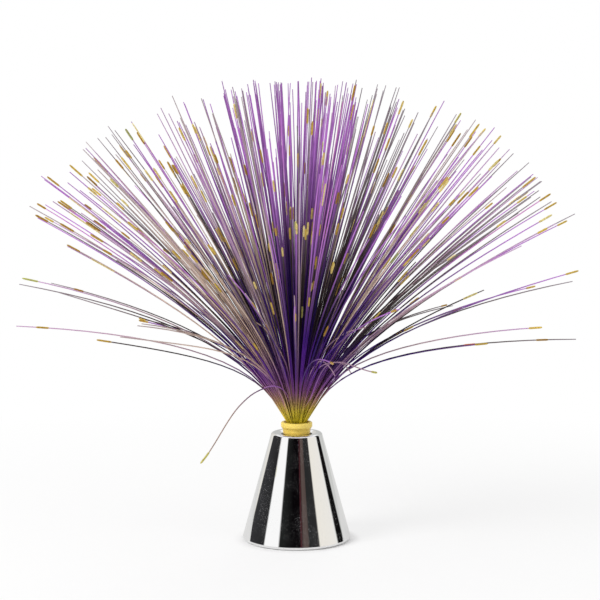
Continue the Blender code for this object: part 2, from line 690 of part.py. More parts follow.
def add_door_seat(plate):
    """The rest of the door's opening: the ends past the bay, and the lugs that hold the hinge pins."""
    half = DOOR_HALF_WIDTH + DOOR_GAP
    ceiling = PLATE_TOP + SEAT_GAP / 2
    front = block(
        "door_opening",
        (-BOX_HALF_LENGTH, -half, PLATE_FOOT - OVERRUN),
        (DOOR_END + DOOR_GAP, half, ceiling),
        None,
        helper=True,
    )
    snap_half = DOOR_TONGUE_WIDTH / 2 + DOOR_GAP
    snap_top = PLATE_FOOT + DOOR_THICKNESS + DOOR_TONGUE_RISE + DOOR_GAP
    snap = block(
        "snap_window",
        (DOOR_END - DOOR_TONGUE_THICKNESS - DOOR_GAP, -snap_half, PLATE_FOOT - OVERRUN),
        (DOOR_END + DOOR_GAP, snap_half, snap_top),
        None,
        helper=True,
    )
    knuckle_half = HINGE_LENGTH / 2 + DOOR_GAP
    reach = HINGE_PLACE - HINGE_RADIUS - DOOR_GAP
    knuckle = block(
        "hinge_pocket",
        (reach, -knuckle_half, PLATE_FOOT - OVERRUN),
        (-BOX_HALF_LENGTH + DOOR_GAP, knuckle_half, HINGE_HEIGHT + HINGE_RADIUS + DOOR_GAP),
        None,
        helper=True,
    )
    for side in (-1, 1):
        near = side * knuckle_half
        far = side * (knuckle_half + LUG_WALL)
        lug = block(
            f"hinge_lug_{side}",
            (HINGE_PLACE - HINGE_RADIUS, min(near, far), PLATE_TOP - PLATE_THICKNESS / 2),
            (HINGE_PLACE + HINGE_RADIUS, max(near, far), HINGE_HEIGHT + PIN_RADIUS + LUG_HEIGHT),
            None,
            helper=True,
        )
        fuse(plate, lug)
    pin_half = HINGE_LENGTH / 2 + PIN_LENGTH + SEAT_GAP
    bore = rod(
        "hinge_bore",
        (HINGE_PLACE, -pin_half, HINGE_HEIGHT),
        (HINGE_PLACE, pin_half, HINGE_HEIGHT),
        PIN_RADIUS + SCREW_HOLE_GAP,
        None,
        helper=True,
    )
    cut(plate, front, snap, knuckle, bore)


def add_posts(plate):
    """Two hollow posts up to the board, open below for the screwdriver."""
    for side in (-1, 1):
        place = (0.0, side * POST_PLACE)
        post = rod(
            f"post_{side}",
            (*place, PLATE_TOP - PLATE_THICKNESS / 2),
            (*place, POST_TOP),
            POST_RADIUS,
            None,
            helper=True,
        )
        shaft = rod(
            f"post_shaft_{side}",
            (*place, PLATE_FOOT - OVERRUN),
            (*place, POST_TOP - POST_END_WALL),
            POST_BORE_RADIUS,
            None,
            helper=True,
        )
        hole = rod(
            f"post_hole_{side}",
            (*place, POST_TOP - POST_END_WALL - OVERRUN),
            (*place, POST_TOP + OVERRUN),
            SCREW_SHANK_RADIUS + SCREW_HOLE_GAP,
            None,
            helper=True,
        )
        fuse(plate, post)
        cut(plate, shaft, hole)


def foot_places():
    """Where the rubber feet sit, on the diagonals near the plate's edge."""
    radius = PLATE_RADIUS - FOOT_INSET
    angles = [math.tau * (i + 0.5) / FOOT_COUNT for i in range(FOOT_COUNT)]
    return [(radius * math.cos(a), radius * math.sin(a)) for a in angles]


def tab_places():
    """(end, lane) of each contact's solder tab, as the side of the bay and the cell that it stands over."""
    return {"bridge_front": (1, 0), "single_front": (1, 2), "bridge_back": (-1, 1), "single_back": (-1, 0)}


def lane_y(lane):
    """The line of a cell across the bay."""
    return (lane + 0.5) * CELL_PITCH - BAY_HALF_WIDTH


def contact_x(end):
    """The middle of a contact plate's thickness at one end of the bay."""
    return end * (CONTACT_SPAN + CONTACT_THICKNESS) / 2


def cut_small_openings(plate):
    """Foot recesses, the switch slot and the roof slots for the solder tabs."""
    for i, place in enumerate(foot_places()):
        low, high = (*place, PLATE_FOOT - OVERRUN), (*place, PLATE_FOOT + FOOT_RECESS)
        cut(plate, rod(f"foot_recess_{i}", low, high, FOOT_RADIUS + SEAT_GAP, None, helper=True))
    half_x = (LEVER_SIZE[0] + SWITCH_TRAVEL) / 2 + SLIDE_GAP
    half_y = LEVER_SIZE[1] / 2 + SLIDE_GAP
    x, y = SWITCH_PLACE
    slot = block(
        "switch_slot",
        (x - half_x, y - half_y, PLATE_FOOT - OVERRUN),
        (x + half_x, y + half_y, PLATE_TOP + OVERRUN),
        None,
        helper=True,
    )
    cut(plate, slot)
    for name, (end, lane) in tab_places().items():
        x, y = contact_x(end), lane_y(lane)
        half_x, half_y = CONTACT_THICKNESS / 2 + SEAT_GAP, TAB_WIDTH / 2 + SEAT_GAP
        low = (x - half_x, y - half_y, BAY_TOP - OVERRUN)
        high = (x + half_x, y + half_y, BOX_TOP + OVERRUN)
        cut(plate, block(f"tab_slot_{name}", low, high, None, helper=True))


def make_plate(finish):
    """The base plate with its battery box, hinge lugs and posts."""
    plate = plate_disc(finish)
    add_battery_box(plate)
    add_posts(plate)
    add_door_seat(plate)
    cut_small_openings(plate)
    return plate


def make_door(finish):
    """The battery door: a panel with a hinge barrel, two pins, a snap tongue and a ribbed thumb notch."""
    hinge = bpy.data.objects.new("door_hinge", None)
    bpy.context.scene.collection.objects.link(hinge)
    hinge.location = (HINGE_PLACE, 0.0, HINGE_HEIGHT)
    panel_top = PLATE_FOOT + DOOR_THICKNESS
    shift = Vector((-HINGE_PLACE, 0.0, -HINGE_HEIGHT))
    door = block(
        "battery_door",
        Vector((DOOR_START, -DOOR_HALF_WIDTH, PLATE_FOOT)) + shift,
        Vector((DOOR_END, DOOR_HALF_WIDTH, panel_top)) + shift,
        finish,
    )
    door.parent = hinge
    half = HINGE_LENGTH / 2
    pin_half = half + PIN_LENGTH
    barrel = rod("door_barrel", (0, -half, 0), (0, half, 0), HINGE_RADIUS, None, helper=True)
    pin = rod("door_pin", (0, -pin_half, 0), (0, pin_half, 0), PIN_RADIUS, None, helper=True)
    web_low = Vector((HINGE_PLACE, -half, PLATE_FOOT)) + shift
    web_high = Vector((DOOR_START + OVERRUN, half, panel_top)) + shift
    web = block("door_web", web_low, web_high, None, helper=True)
    tongue_low = Vector((DOOR_END - DOOR_TONGUE_THICKNESS, -DOOR_TONGUE_WIDTH / 2, PLATE_FOOT)) + shift
    tongue_high = Vector((DOOR_END, DOOR_TONGUE_WIDTH / 2, panel_top + DOOR_TONGUE_RISE)) + shift
    tongue = block("door_tongue", tongue_low, tongue_high, None, helper=True)
    helpers = [barrel, pin, web, tongue]
    fuse(door, *helpers)
    centre = Vector((DOOR_END - DOOR_NOTCH_RADIUS, 0.0, PLATE_FOOT)) + shift
    drop, rise = Vector((0.0, 0.0, -OVERRUN)), Vector((0.0, 0.0, DOOR_NOTCH_DEPTH))
    notch = rod("door_notch", centre + drop, centre + rise, DOOR_NOTCH_RADIUS / 2, None, helper=True)
    cut(door, notch)
    helpers.append(notch)
    for i in range(DOOR_RIB_COUNT):
        x = centre.x - DOOR_NOTCH_RADIUS - i * DOOR_RIB_PITCH
        low = (x - DOOR_RIB_WIDTH / 2, -DOOR_RIB_LENGTH / 2, centre.z - OVERRUN)
        high = (x + DOOR_RIB_WIDTH / 2, DOOR_RIB_LENGTH / 2, centre.z + DOOR_RIB_DEPTH)
        groove = block(f"door_groove_{i}", low, high, None, helper=True)
        cut(door, groove)
        helpers.append(groove)
    for helper in helpers:
        helper.parent = hinge
    return door


def make_switch(finish):
    """The slide switch: a metal can over the slot, three terminals, and the lever at the off end."""
    x, y = SWITCH_PLACE
    length, width, height = SWITCH_BODY
    low = (x - length / 2, y - width / 2, SWITCH_FLOOR)
    high = (x + length / 2, y + width / 2, SWITCH_FLOOR + height)
    housing = block("switch_housing", low, high, finish["steel"])
    half_x, half_y = length / 2 - SWITCH_CAVITY_MARGIN, width / 2 - SWITCH_CAVITY_MARGIN
    cavity = block(
        "switch_cavity",
        (x - half_x, y - half_y, SWITCH_FLOOR - OVERRUN),
        (x + half_x, y + half_y, SWITCH_FLOOR + SWITCH_CAVITY_HEIGHT),
        None,
        helper=True,
    )
    cut(housing, cavity)
    wide, deep, tall = TERMINAL_SIZE
    for i in (-1, 0, 1):
        cx = x + i * TERMINAL_PITCH
        pin_low = (cx - wide / 2, y - deep / 2, SWITCH_FLOOR + height - OVERRUN)
        pin_high = (cx + wide / 2, y + deep / 2, SWITCH_FLOOR + height + tall)
        fuse(housing, block(f"switch_pin_{i}", pin_low, pin_high, None, helper=True))
    lever_x = x - SWITCH_TRAVEL / 2
    half_x, half_y = LEVER_SIZE[0] / 2, LEVER_SIZE[1] / 2
    foot, top = PLATE_FOOT + LEVER_RECESS, SWITCH_FLOOR + SWITCH_CAVITY_HEIGHT - SLIDE_GAP
    lever = block(
        "switch_lever",
        (-half_x, -half_y, 0.0),
        (half_x, half_y, top - foot),
        finish["white"],
    )
    lever.location = (lever_x, y, foot)
    for i in (-1, 0, 1):
        cx = i * 2 * LEVER_RIB_WIDTH
        low = (cx - LEVER_RIB_WIDTH / 2, -half_y - OVERRUN, -OVERRUN)
        high = (cx + LEVER_RIB_WIDTH / 2, half_y + OVERRUN, LEVER_RIB_WIDTH)
        groove = block(f"lever_groove_{i}", low, high, None, helper=True)
        groove.location = lever.location
        cut(lever, groove)


def make_screws(finish):
    """The two screws that draw the base plate, board and bracket together from below."""
    under_wall = POST_TOP - POST_END_WALL - SEAT_GAP
    head_foot = under_wall - SCREW_HEAD_HEIGHT
    tip = BRACKET_FOOT + SCREW_BITE
    for i, side in enumerate((-1, 1)):
        profile = [
            (0.0, head_foot),
            (SCREW_HEAD_RADIUS, head_foot),
            (SCREW_HEAD_RADIUS, under_wall),
            (SCREW_SHANK_RADIUS, under_wall),
            (SCREW_SHANK_RADIUS, tip - SCREW_SHANK_RADIUS),
            (0.0, tip),
        ]
        screw = turned(f"board_screw_{i + 1}", profile, finish, SMALL_STEPS)
        screw.location = (0.0, side * POST_PLACE, 0.0)
        half_length, half_width = SCREW_HEAD_RADIUS + OVERRUN, SCREW_SLOT_WIDTH / 2
        low = (-half_length, -half_width, head_foot - OVERRUN)
        high = (half_length, half_width, head_foot + SCREW_SLOT_DEPTH)
        slot = block(f"screw_slot_{i}", low, high, None, helper=True)
        slot.location = screw.location
        cut(screw, slot)


def make_feet(finish):
    """Four rubber pads let into the plate's underside."""
    top = PLATE_FOOT + FOOT_RECESS - SEAT_GAP
    side = FOOT_RADIUS - FOOT_BEVEL
    profile = [(0.0, 0.0), (side, 0.0), (FOOT_RADIUS, FOOT_BEVEL), (FOOT_RADIUS, top), (0.0, top)]
    for i, place in enumerate(foot_places()):
        pad = turned(f"foot_{i + 1}", profile, finish, SMALL_STEPS)
        pad.location = (*place, 0.0)


def make_cells(finish):
    """Three AAA cells side by side, the middle one the other way round."""
    edge = CELL_RADIUS - CELL_EDGE
    nose = CELL_BODY_LENGTH + CELL_BUTTON_LENGTH
    profile = [
        (0.0, 0.0),
        (edge, 0.0),
        (CELL_RADIUS, CELL_EDGE),
        (CELL_RADIUS, CELL_BODY_LENGTH - CELL_EDGE),
        (edge, CELL_BODY_LENGTH),
        (CELL_BUTTON_RADIUS, CELL_BODY_LENGTH),
        (CELL_BUTTON_RADIUS, nose),
        (0.0, nose),
    ]
    for lane in range(CELL_COUNT):
        facing = 1 if lane == 1 else -1
        cell = turned(f"battery_{lane + 1}", profile, finish, CELL_STEPS)
        cell.rotation_euler.y = facing * math.pi / 2
        nose_x = facing * (CONTACT_SPAN / 2 - SEAT_GAP)
        cell.location = (nose_x - facing * nose, lane_y(lane), CELL_AXIS)


def tube_mesh(name, points, radii, sides, turns=None):
    """A closed tube along points, its rings square to the path and its ends capped."""
    places = [Vector(p) for p in points]
    side = turns or Vector((0.0, 0.0, 1.0))
    bm = bmesh.new()
    rings = []
    for i, here in enumerate(places):
        before = places[i - 1] if i else here
        after = places[i + 1] if i + 1 < len(places) else here
        along = (after - before).normalized()
        side = (side - along * side.dot(along)).normalized()
        across = along.cross(side)
        ring = []
        for k in range(sides):
            angle = math.tau * k / sides
            reach = side * math.cos(angle) + across * math.sin(angle)
            ring.append(bm.verts.new(here + reach * radii[i]))
        rings.append(ring)
    for low, high in zip(rings, rings[1:]):
        for k in range(sides):
            n = (k + 1) % sides
            bm.faces.new((low[k], low[n], high[n], high[k]))
    bm.faces.new(rings[0][::-1])
    bm.faces.new(rings[-1])
    return mesh_from(name, bm)


def spring_points(end, lane):
    """The wire of a conical contact spring, wound along X from its plate towards the cell."""
    wall = end * CONTACT_SPAN / 2
    count = SPRING_TURNS * SPRING_TURN_POINTS
    reach = SPRING_LENGTH - SPRING_WIRE_RADIUS
    points = []
    for i in range(count + 1):
        share = i / count
        angle = math.tau * SPRING_TURNS * share
        radius = SPRING_BASE_RADIUS + (SPRING_TIP_RADIUS - SPRING_BASE_RADIUS) * share
        y = lane_y(lane) + radius * math.cos(angle)
        z = CELL_AXIS + radius * math.sin(angle)
        points.append((wall - end * reach * share, y, z))
    return points


def spring_gap(points):
    """The least clear gap between one turn of a spring's wire and the next."""
    places = np.array(points)
    first, second = places[:-SPRING_TURN_POINTS], places[SPRING_TURN_POINTS:]
    return float(np.linalg.norm(first - second, axis=1).min()) - 2 * SPRING_WIRE_RADIUS


def make_contacts(finish):
    """Four nickel contacts: plates against the bay's ends, with a spring where a cell's flat end rests."""
    lanes = {"bridge_front": (0, 1), "single_front": (2,), "bridge_back": (1, 2), "single_back": (0,)}
    springs = {"bridge_front": 0, "single_front": 2, "bridge_back": 1}
    low_z, high_z = CELL_AXIS - CONTACT_HEIGHT / 2, CELL_AXIS + CONTACT_HEIGHT / 2
    for name, (end, tab_lane) in tab_places().items():
        x = contact_x(end)
        half = CONTACT_THICKNESS / 2
        low_y = lane_y(lanes[name][0]) - CELL_RADIUS + CONTACT_MARGIN
        high_y = lane_y(lanes[name][-1]) + CELL_RADIUS - CONTACT_MARGIN
        plate = block(f"contact_{name}", (x - half, low_y, low_z), (x + half, high_y, high_z), finish)
        y = lane_y(tab_lane)
        tab_low = (x - half, y - TAB_WIDTH / 2, high_z - OVERRUN)
        tab_high = (x + half, y + TAB_WIDTH / 2, BOX_TOP + TAB_RISE)
        fuse(plate, block(f"tab_{name}", tab_low, tab_high, None, helper=True))
        if name in springs:
            points = spring_points(end, springs[name])
            radii = [SPRING_WIRE_RADIUS] * len(points)
            coil = tube_mesh(f"coil_{name}", points, radii, COIL_SIDES, Vector((1.0, 0.0, 0.0)))
            fuse(plate, add_object(f"coil_{name}", coil, None, helper=True))
            print(f"contact_{name}: least gap between turns {spring_gap(points) / MM:.2f} mm")


def smooth_route(knots):
    """Points every WIRE_STEP on a smooth curve through the knots."""
    places = [Vector(k) for k in knots]
    padded = [2 * places[0] - places[1], *places, 2 * places[-1] - places[-2]]
    route = []
    for a, b, c, d in zip(padded, padded[1:], padded[2:], padded[3:]):
        steps = max(2, round((c - b).length / WIRE_STEP))
        for i in range(steps):
            t = i / steps
            bend = (2 * a - 5 * b + 4 * c - d) * t * t + (3 * b - a - 3 * c + d) * t**3
            route.append((2 * b + (c - a) * t + bend) / 2)
    route.append(places[-1])
    return route


def make_wires(finish):
    """Three hook-up wires: cells to board, cells to switch, and switch to board."""
    tab_top = BOX_TOP + TAB_RISE
    pad = BOARD_FOOT - SEAT_GAP
    front = Vector((contact_x(1), lane_y(2), tab_top + SEAT_GAP))
    back = Vector((contact_x(-1), lane_y(0), tab_top + SEAT_GAP))
    lift = Vector((0.0, 0.0, WIRE_REACH))
    middle = (tab_top + pad) / 2
    half = BOARD_HALF_WIDTH / 2
    x, y = SWITCH_PLACE
    pins = SWITCH_FLOOR + SWITCH_BODY[2] + TERMINAL_SIZE[2] + SEAT_GAP
    first = Vector((x - TERMINAL_PITCH, y, pins))
    second = Vector((x + TERMINAL_PITCH, y, pins))
    inner = BOX_HALF_WIDTH - WIRE_HOP
    routes = {
        "wire_red": [
            front,
            front + lift,
            (front.x * RED_BEND_SHARE, lane_y(2), middle),
            (half, half, pad - WIRE_REACH),
            (half, half, pad),
        ],
        "wire_black": [
            back,
            back + lift,
            (back.x * BLACK_BEND_SHARE, -inner * BLACK_SWING_SHARE, tab_top + WIRE_HOP),
            (0.0, inner * BLACK_SWING_SHARE, tab_top + WIRE_HOP * BLACK_RISE_SHARE),
            (first.x, inner, tab_top + WIRE_HOP),
            first + lift * BLACK_RISE_SHARE,
            first,
        ],
        "wire_switch": [
            second,
            second + lift,
            (second.x, second.y * SWITCH_BEND_SHARE, middle * SWITCH_RISE_SHARE),
            (half, half * SWITCH_PAD_SHARE, pad - WIRE_REACH),
            (half, half * SWITCH_PAD_SHARE, pad),
        ],
    }
    for name, knots in routes.items():
        points = smooth_route(knots)
        radii = [WIRE_RADIUS] * len(points)
        colour = finish["red"] if name == "wire_red" else finish["chip"]
        start = Vector((1.0, 0.0, 0.0))
        add_object(name, tube_mesh(name, points, radii, WIRE_SIDES, start), colour)


def make_collar(finish):
    """The collar: a spigot for the socket with a ring groove, a body and a rounded flange."""
    body_top = COLLAR_SEAT + COLLAR_BODY_HEIGHT
    groove_low = COLLAR_FOOT + RING_GROOVE_RISE
    groove_high = groove_low + RING_GROOVE_HEIGHT
    groove_radius = SPIGOT_RADIUS - RING_GROOVE_DEPTH
    side = FLANGE_RADIUS - FLANGE_ROUND
    mouth = BORE_RADIUS + MOUTH_FLARE
    profile = [
        (BORE_RADIUS, COLLAR_FOOT),
        (SPIGOT_RADIUS, COLLAR_FOOT),
        (SPIGOT_RADIUS, groove_low),
        (groove_radius, groove_low),
        (groove_radius, groove_high),
        (SPIGOT_RADIUS, groove_high),
        (SPIGOT_RADIUS, COLLAR_SEAT),
        (COLLAR_RADIUS, COLLAR_SEAT),
        (COLLAR_RADIUS, body_top),
    ]
    profile += arc((side, body_top + FLANGE_ROUND), FLANGE_ROUND, -90.0, 0.0, FINE_ARC_STEPS)
    profile += arc((side, COLLAR_TOP - FLANGE_ROUND), FLANGE_ROUND, 0.0, 90.0, FINE_ARC_STEPS)
    profile += [(mouth, COLLAR_TOP), (BORE_RADIUS, COLLAR_TOP - MOUTH_DEPTH)]
    return turned("collar", profile, finish)


def make_grip_ring(finish):
    """The rubber ring in the collar's groove, which keeps the plug from rattling."""
    low = COLLAR_FOOT + RING_GROOVE_RISE + RING_GAP
    high = COLLAR_FOOT + RING_GROOVE_RISE + RING_GROOVE_HEIGHT - RING_GAP
    inner = SPIGOT_RADIUS - RING_GROOVE_DEPTH + RING_GAP
    outer = SLEEVE_BORE - RING_GAP
    middle = ((inner + outer) / 2, (low + high) / 2)
    wide, tall = (outer - inner) / 2, (high - low) / 2
    profile = []
    for step in range(RING_SIDES):
        angle = math.tau * (step + 0.5) / RING_SIDES
        grow = 1 / math.cos(math.pi / RING_SIDES)
        x = middle[0] + wide * math.cos(angle) * grow
        profile.append((x, middle[1] + tall * math.sin(angle) * grow))
    return turned("grip_ring", profile, finish)


def final_lean(quota):
    """A strand's lean at its tip, from the share of strands inside it: an even dome, then a sparse skirt."""
    if quota <= DENSE_SHARE:
        return math.acos(1 - quota / DENSE_SHARE * (1 - math.cos(DENSE_ANGLE)))
    beyond = (quota - DENSE_SHARE) / (1 - DENSE_SHARE)
    return DENSE_ANGLE + beyond * (WIDEST_ANGLE - DENSE_ANGLE)


def bend_length(quota):
    """How far up a strand bends over: sooner in the skirt."""
    beyond = max(0.0, (quota - DENSE_SHARE) / (1 - DENSE_SHARE))
    return BEND_LENGTH * (1 + beyond * (SKIRT_BEND_SHARE - 1))


def direction(lean, azimuth):
    return Vector((math.sin(lean) * math.cos(azimuth), math.sin(lean) * math.sin(azimuth), math.cos(lean)))


def sector_rows():
    """(radius, strands in each sector) of every row of strands outside the core."""
    inner, outer = CORE_RADIUS + SEAT_GAP / 2 + ROOT_MARGIN, BUNDLE_RADIUS - ROOT_MARGIN
    count = int((outer - inner) / ROW_PITCH) + 1
    rows = []
    for i in range(count):
        radius = inner + (outer - inner) * i / (count - 1)
        room = radius * SECTOR_SIZE - SEAT_GAP - 2 * ROOT_MARGIN
        rows.append((radius, int(room / ROOT_PITCH) + 1))
    return rows


def strand_roots():
    """(sector, radius, root azimuth, aimed azimuth) of every strand, from the middle of the bundle out."""
    roots = []
    reach = CORE_RADIUS - SEAT_GAP / 2 - ROOT_MARGIN
    for i in range(CORE_STRANDS):
        azimuth = (i * GOLDEN_ANGLE) % math.tau
        roots.append((-1, reach * math.sqrt((i + 0.5) / CORE_STRANDS), azimuth, azimuth))
    for radius, count in sector_rows():
        margin = (SEAT_GAP / 2 + ROOT_MARGIN) / radius
        for sector in range(SECTOR_COUNT):
            for i in range(count):
                even = (sector + (i + 0.5) / count) * SECTOR_SIZE
                share = i / (count - 1)
                drawn_in = sector * SECTOR_SIZE + margin + share * (SECTOR_SIZE - 2 * margin)
                roots.append((sector, radius, drawn_in, even))
    return roots


def quotas(roots):
    """Each strand's place in the order of leans: strands of one row share a band of it, well mixed."""
    radii = [root[1] for root in roots]
    shares = []
    for i, radius in enumerate(radii):
        first, count = radii.index(radius), radii.count(radius)
        mixed = ((i - first) * GOLDEN_SHARE) % 1.0
        shares.append((first + mixed * count + (0.5 if count == 1 else 0.0)) / len(roots))
    return shares


def strand_seeds():
    """One dict per strand: where it starts, how it leans, how long it is, and whether it has a tip."""
    chance = random.Random(SEED)
    roots = strand_roots()
    seeds = []
    for (sector, radius, start, even), quota in zip(roots, quotas(roots)):
        wave = WAVE_ANGLE * math.sin(WAVES * even + WAVE_TWIST * quota)
        tipped = chance.random() < TIPPED_SHARE
        shares = SHORT_SHARES if tipped else FULL_SHARES
        seeds.append(
            {
                "root": Vector((radius * math.cos(start), radius * math.sin(start), SLUG_TOP)),
                "lean": final_lean(quota),
                "azimuth": even + wave,
                "length": STRAND_LENGTH * chance.uniform(*shares),
                "start": BEND_START,
                "bend": bend_length(quota),
                "tipped": tipped,
                "sector": sector,
                "stray": False,
            }
        )
    outermost = [seed for seed in seeds if seed["root"].xy.length > BUNDLE_RADIUS - 2 * ROOT_MARGIN]
    for azimuth, lean, bend, length in STRAYS:
        seed = max(outermost, key=lambda each: direction(WIDEST_ANGLE, azimuth).dot(each["root"]))
        seed.update(lean=lean, start=STRAY_START, bend=bend, length=length)
        seed.update(tipped=True, stray=True)
    for seed in outermost:
        seed["length"] = min(seed["length"], length_for_reach(seed, SPRAY_RADIUS * SKIRT_SHARE))
    set_widest(outermost)
    tallest = min(seeds, key=lambda each: each["lean"])
    tallest.update(length=STRAND_LENGTH, tipped=False)
    return seeds


def set_widest(outermost):
    """Gives the strands nearest the axes one full reach, so the spray is as wide as it is deep."""
    free = [seed for seed in outermost if not seed["stray"]]
    for i in range(4):
        azimuth = i * math.pi / 2
        aim = direction(math.pi / 2, azimuth)
        seed = max(free, key=lambda each: each["root"].normalized().dot(aim))
        seed.update(lean=REACH_ANGLE, azimuth=azimuth, length=STRAND_LENGTH, tipped=False)
        seed["length"] = length_for_reach(seed, SPRAY_RADIUS - STRAND_RADIUS)


def length_for_reach(seed, reach):
    """The length at which a strand's tip comes to a distance from the axis, or a full one's if it never does."""
    low, high = 0.0, STRAND_LENGTH
    if strand_place(seed, high).xy.length < reach:
        return high
    for _ in range(REACH_ROUNDS):
        middle = (low + high) / 2
        if strand_place(seed, middle).xy.length < reach:
            low = middle
        else:
            high = middle
    return low


def strand_place(seed, distance):
    """The point a distance along a strand: it leaves at a slight lean and bends over to its final one."""
    root_lean = min(seed["lean"], DENSE_ANGLE) * ROOT_LEAN_SHARE
    sag = SAG_ANGLE * max(0.0, math.sin(seed["lean"])) ** 4 * (0 if seed["stray"] else 1)
    place = seed["root"].copy()
    for i in range(STRAND_STEPS):
        middle = distance * (i + 0.5) / STRAND_STEPS
        bent = 1 - math.exp(-max(0.0, middle - seed["start"]) / seed["bend"])
        lean = root_lean + (seed["lean"] - root_lean) * bent + sag * (middle / STRAND_LENGTH) ** 2
        place += direction(lean, seed["azimuth"]) * (distance / STRAND_STEPS)
    return place


def strand_rings(seed):
    """(distance, radius) of each ring of a strand, with its thicker tip where it has one."""
    length = seed["length"]
    stops = [STRAND_LENGTH * share for share in PATH_SHARES]
    if seed["stray"]:
        stops = [stops[0] + (length - stops[0]) * i / STRAY_STEPS for i in range(STRAY_STEPS)]
    end = length - TIP_LENGTH if seed["tipped"] else length
    rings = [(s, STRAND_RADIUS) for s in stops if s < end - TIP_LENGTH]
    if seed["tipped"]:
        rings += [(end, STRAND_RADIUS), (end + TIP_STEP, TIP_RADIUS), (length, TIP_RADIUS)]
    else:
        rings.append((length, STRAND_RADIUS))
    return rings


def strand_line(seed):
    """The strand's ring centres and radii, from inside the slug to its tip."""
    rings = strand_rings(seed)
    points = [strand_place(seed, distance) for distance, _ in rings]
    points.insert(0, seed["root"] - (points[0] - seed["root"]).normalized() * ROOT_DEPTH)
    return points, [STRAND_RADIUS] + [radius for _, radius in rings]


def wedge(name, sector):
    """The slice of the potted slug that carries one sector's strands."""
    inner, outer = CORE_RADIUS + SEAT_GAP / 2, BUNDLE_RADIUS
    low, high = sector * SECTOR_SIZE, (sector + 1) * SECTOR_SIZE
    outline = []
    for radius, start, end in ((outer, low, high), (inner, high, low)):
        trim = math.copysign(math.asin(SEAT_GAP / 2 / radius), end - start)
        for angle in np.linspace(start + trim, end - trim, ARC_STEPS + 1):
            outline.append((radius * math.cos(angle), radius * math.sin(angle), SLUG_FOOT))
    bm = bmesh.new()
    face = bm.faces.new([bm.verts.new(p) for p in outline])
    grown = bmesh.ops.extrude_face_region(bm, geom=[face])["geom"]
    top = [v for v in grown if isinstance(v, bmesh.types.BMVert)]
    bmesh.ops.translate(bm, vec=(0.0, 0.0, SLUG_TOP - SLUG_FOOT), verts=top)
    return mesh_from(name, bm)


def make_fibres(finish):
    """The spray: a potted core and eight slices, each with its strands standing in it."""
    seeds = strand_seeds()
    lines = [strand_line(seed) for seed in seeds]
    core = CORE_RADIUS - SEAT_GAP / 2
    for sector in range(-1, SECTOR_COUNT):
        name = "fibres_crown" if sector < 0 else f"fibres_sector_{sector + 1}"
        if sector < 0:
            profile = [(0.0, SLUG_FOOT), (core, SLUG_FOOT), (core, SLUG_TOP), (0.0, SLUG_TOP)]
            slice_ = turned(name, profile, finish, SMALL_STEPS)
        else:
            slice_ = add_object(name, wedge(name, sector), finish)
        bm = bmesh.new()
        for seed, (points, radii) in zip(seeds, lines):
            if seed["sector"] == sector:
                sideways = Vector((-math.sin(seed["azimuth"]), math.cos(seed["azimuth"]), 0.0))
                bm.from_mesh(tube_mesh("strand", points, radii, STRAND_SIDES, sideways))
        tuft = add_object(f"{name}_strands", mesh_from(f"{name}_strands", bm), None, helper=True)
        fuse(slice_, tuft)
    print(f"{len(lines)} strands, least gap between them {strand_gap(lines) / MM:.2f} mm")


def strand_gap(lines):
    """The least clear gap between any two strands, from points a few millimetres apart on each."""
    places, owner, thick = [], [], []
    for i, (points, radii) in enumerate(lines):
        for a, b, ra, rb in zip(points, points[1:], radii, radii[1:]):
            steps = max(1, int((b - a).length / (4 * STRAND_RADIUS)))
            for t in (np.arange(steps) + 0.5) / steps:
                places.append(a.lerp(b, t))
                owner.append(i)
                thick.append(max(ra, rb))
    places, owner, thick = np.array(places), np.array(owner), np.array(thick)
    order = np.argsort(places[:, 2])
    places, owner, thick = places[order], owner[order], thick[order]
    least = math.inf
    reach = 3 * TIP_RADIUS
    for i in range(len(places)):
        stop = np.searchsorted(places[:, 2], places[i, 2] + reach)
        other = owner[i + 1 : stop] != owner[i]
        if other.any():
            apart = np.linalg.norm(places[i + 1 : stop][other] - places[i], axis=1)
            least = min(least, float((apart - thick[i] - thick[i + 1 : stop][other]).min()))
    return least


def main():
    for old in list(bpy.data.objects):
        bpy.data.objects.remove(old)
    finish = finishes()
    make_shell(finish["chrome"])
    make_sleeve(finish["black"])
    make_nut(finish["black"])
    make_bracket(finish["white"])
    make_board(finish["board"])
    make_leds(finish["lens"])
    make_reflector(finish["white"])
    make_board_parts(finish)
    make_plate(finish["black"])
    make_door(finish["black"])
    make_switch(finish)
    make_screws(finish["steel"])
    make_feet(finish["rubber"])
    make_cells(finish["cell"])
    make_contacts(finish["nickel"])
    make_wires(finish)
    make_collar(finish["collar"])
    make_grip_ring(finish["ring"])
    make_fibres(finish["strand"])


main()
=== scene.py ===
"""Looks of a battery fibre optic lamp: a mirror-bright cone, a pale yellow collar, and a spray of
dyed strands with gold dipped tips. Metres, +Z up, and the front faces -Y."""

from __future__ import annotations

import enum
import json
import logging
import math
import random
from dataclasses import dataclass, field, replace
from typing import Iterable, Sequence

import bmesh
import bpy
import numpy as np
from mathutils import Matrix, Vector

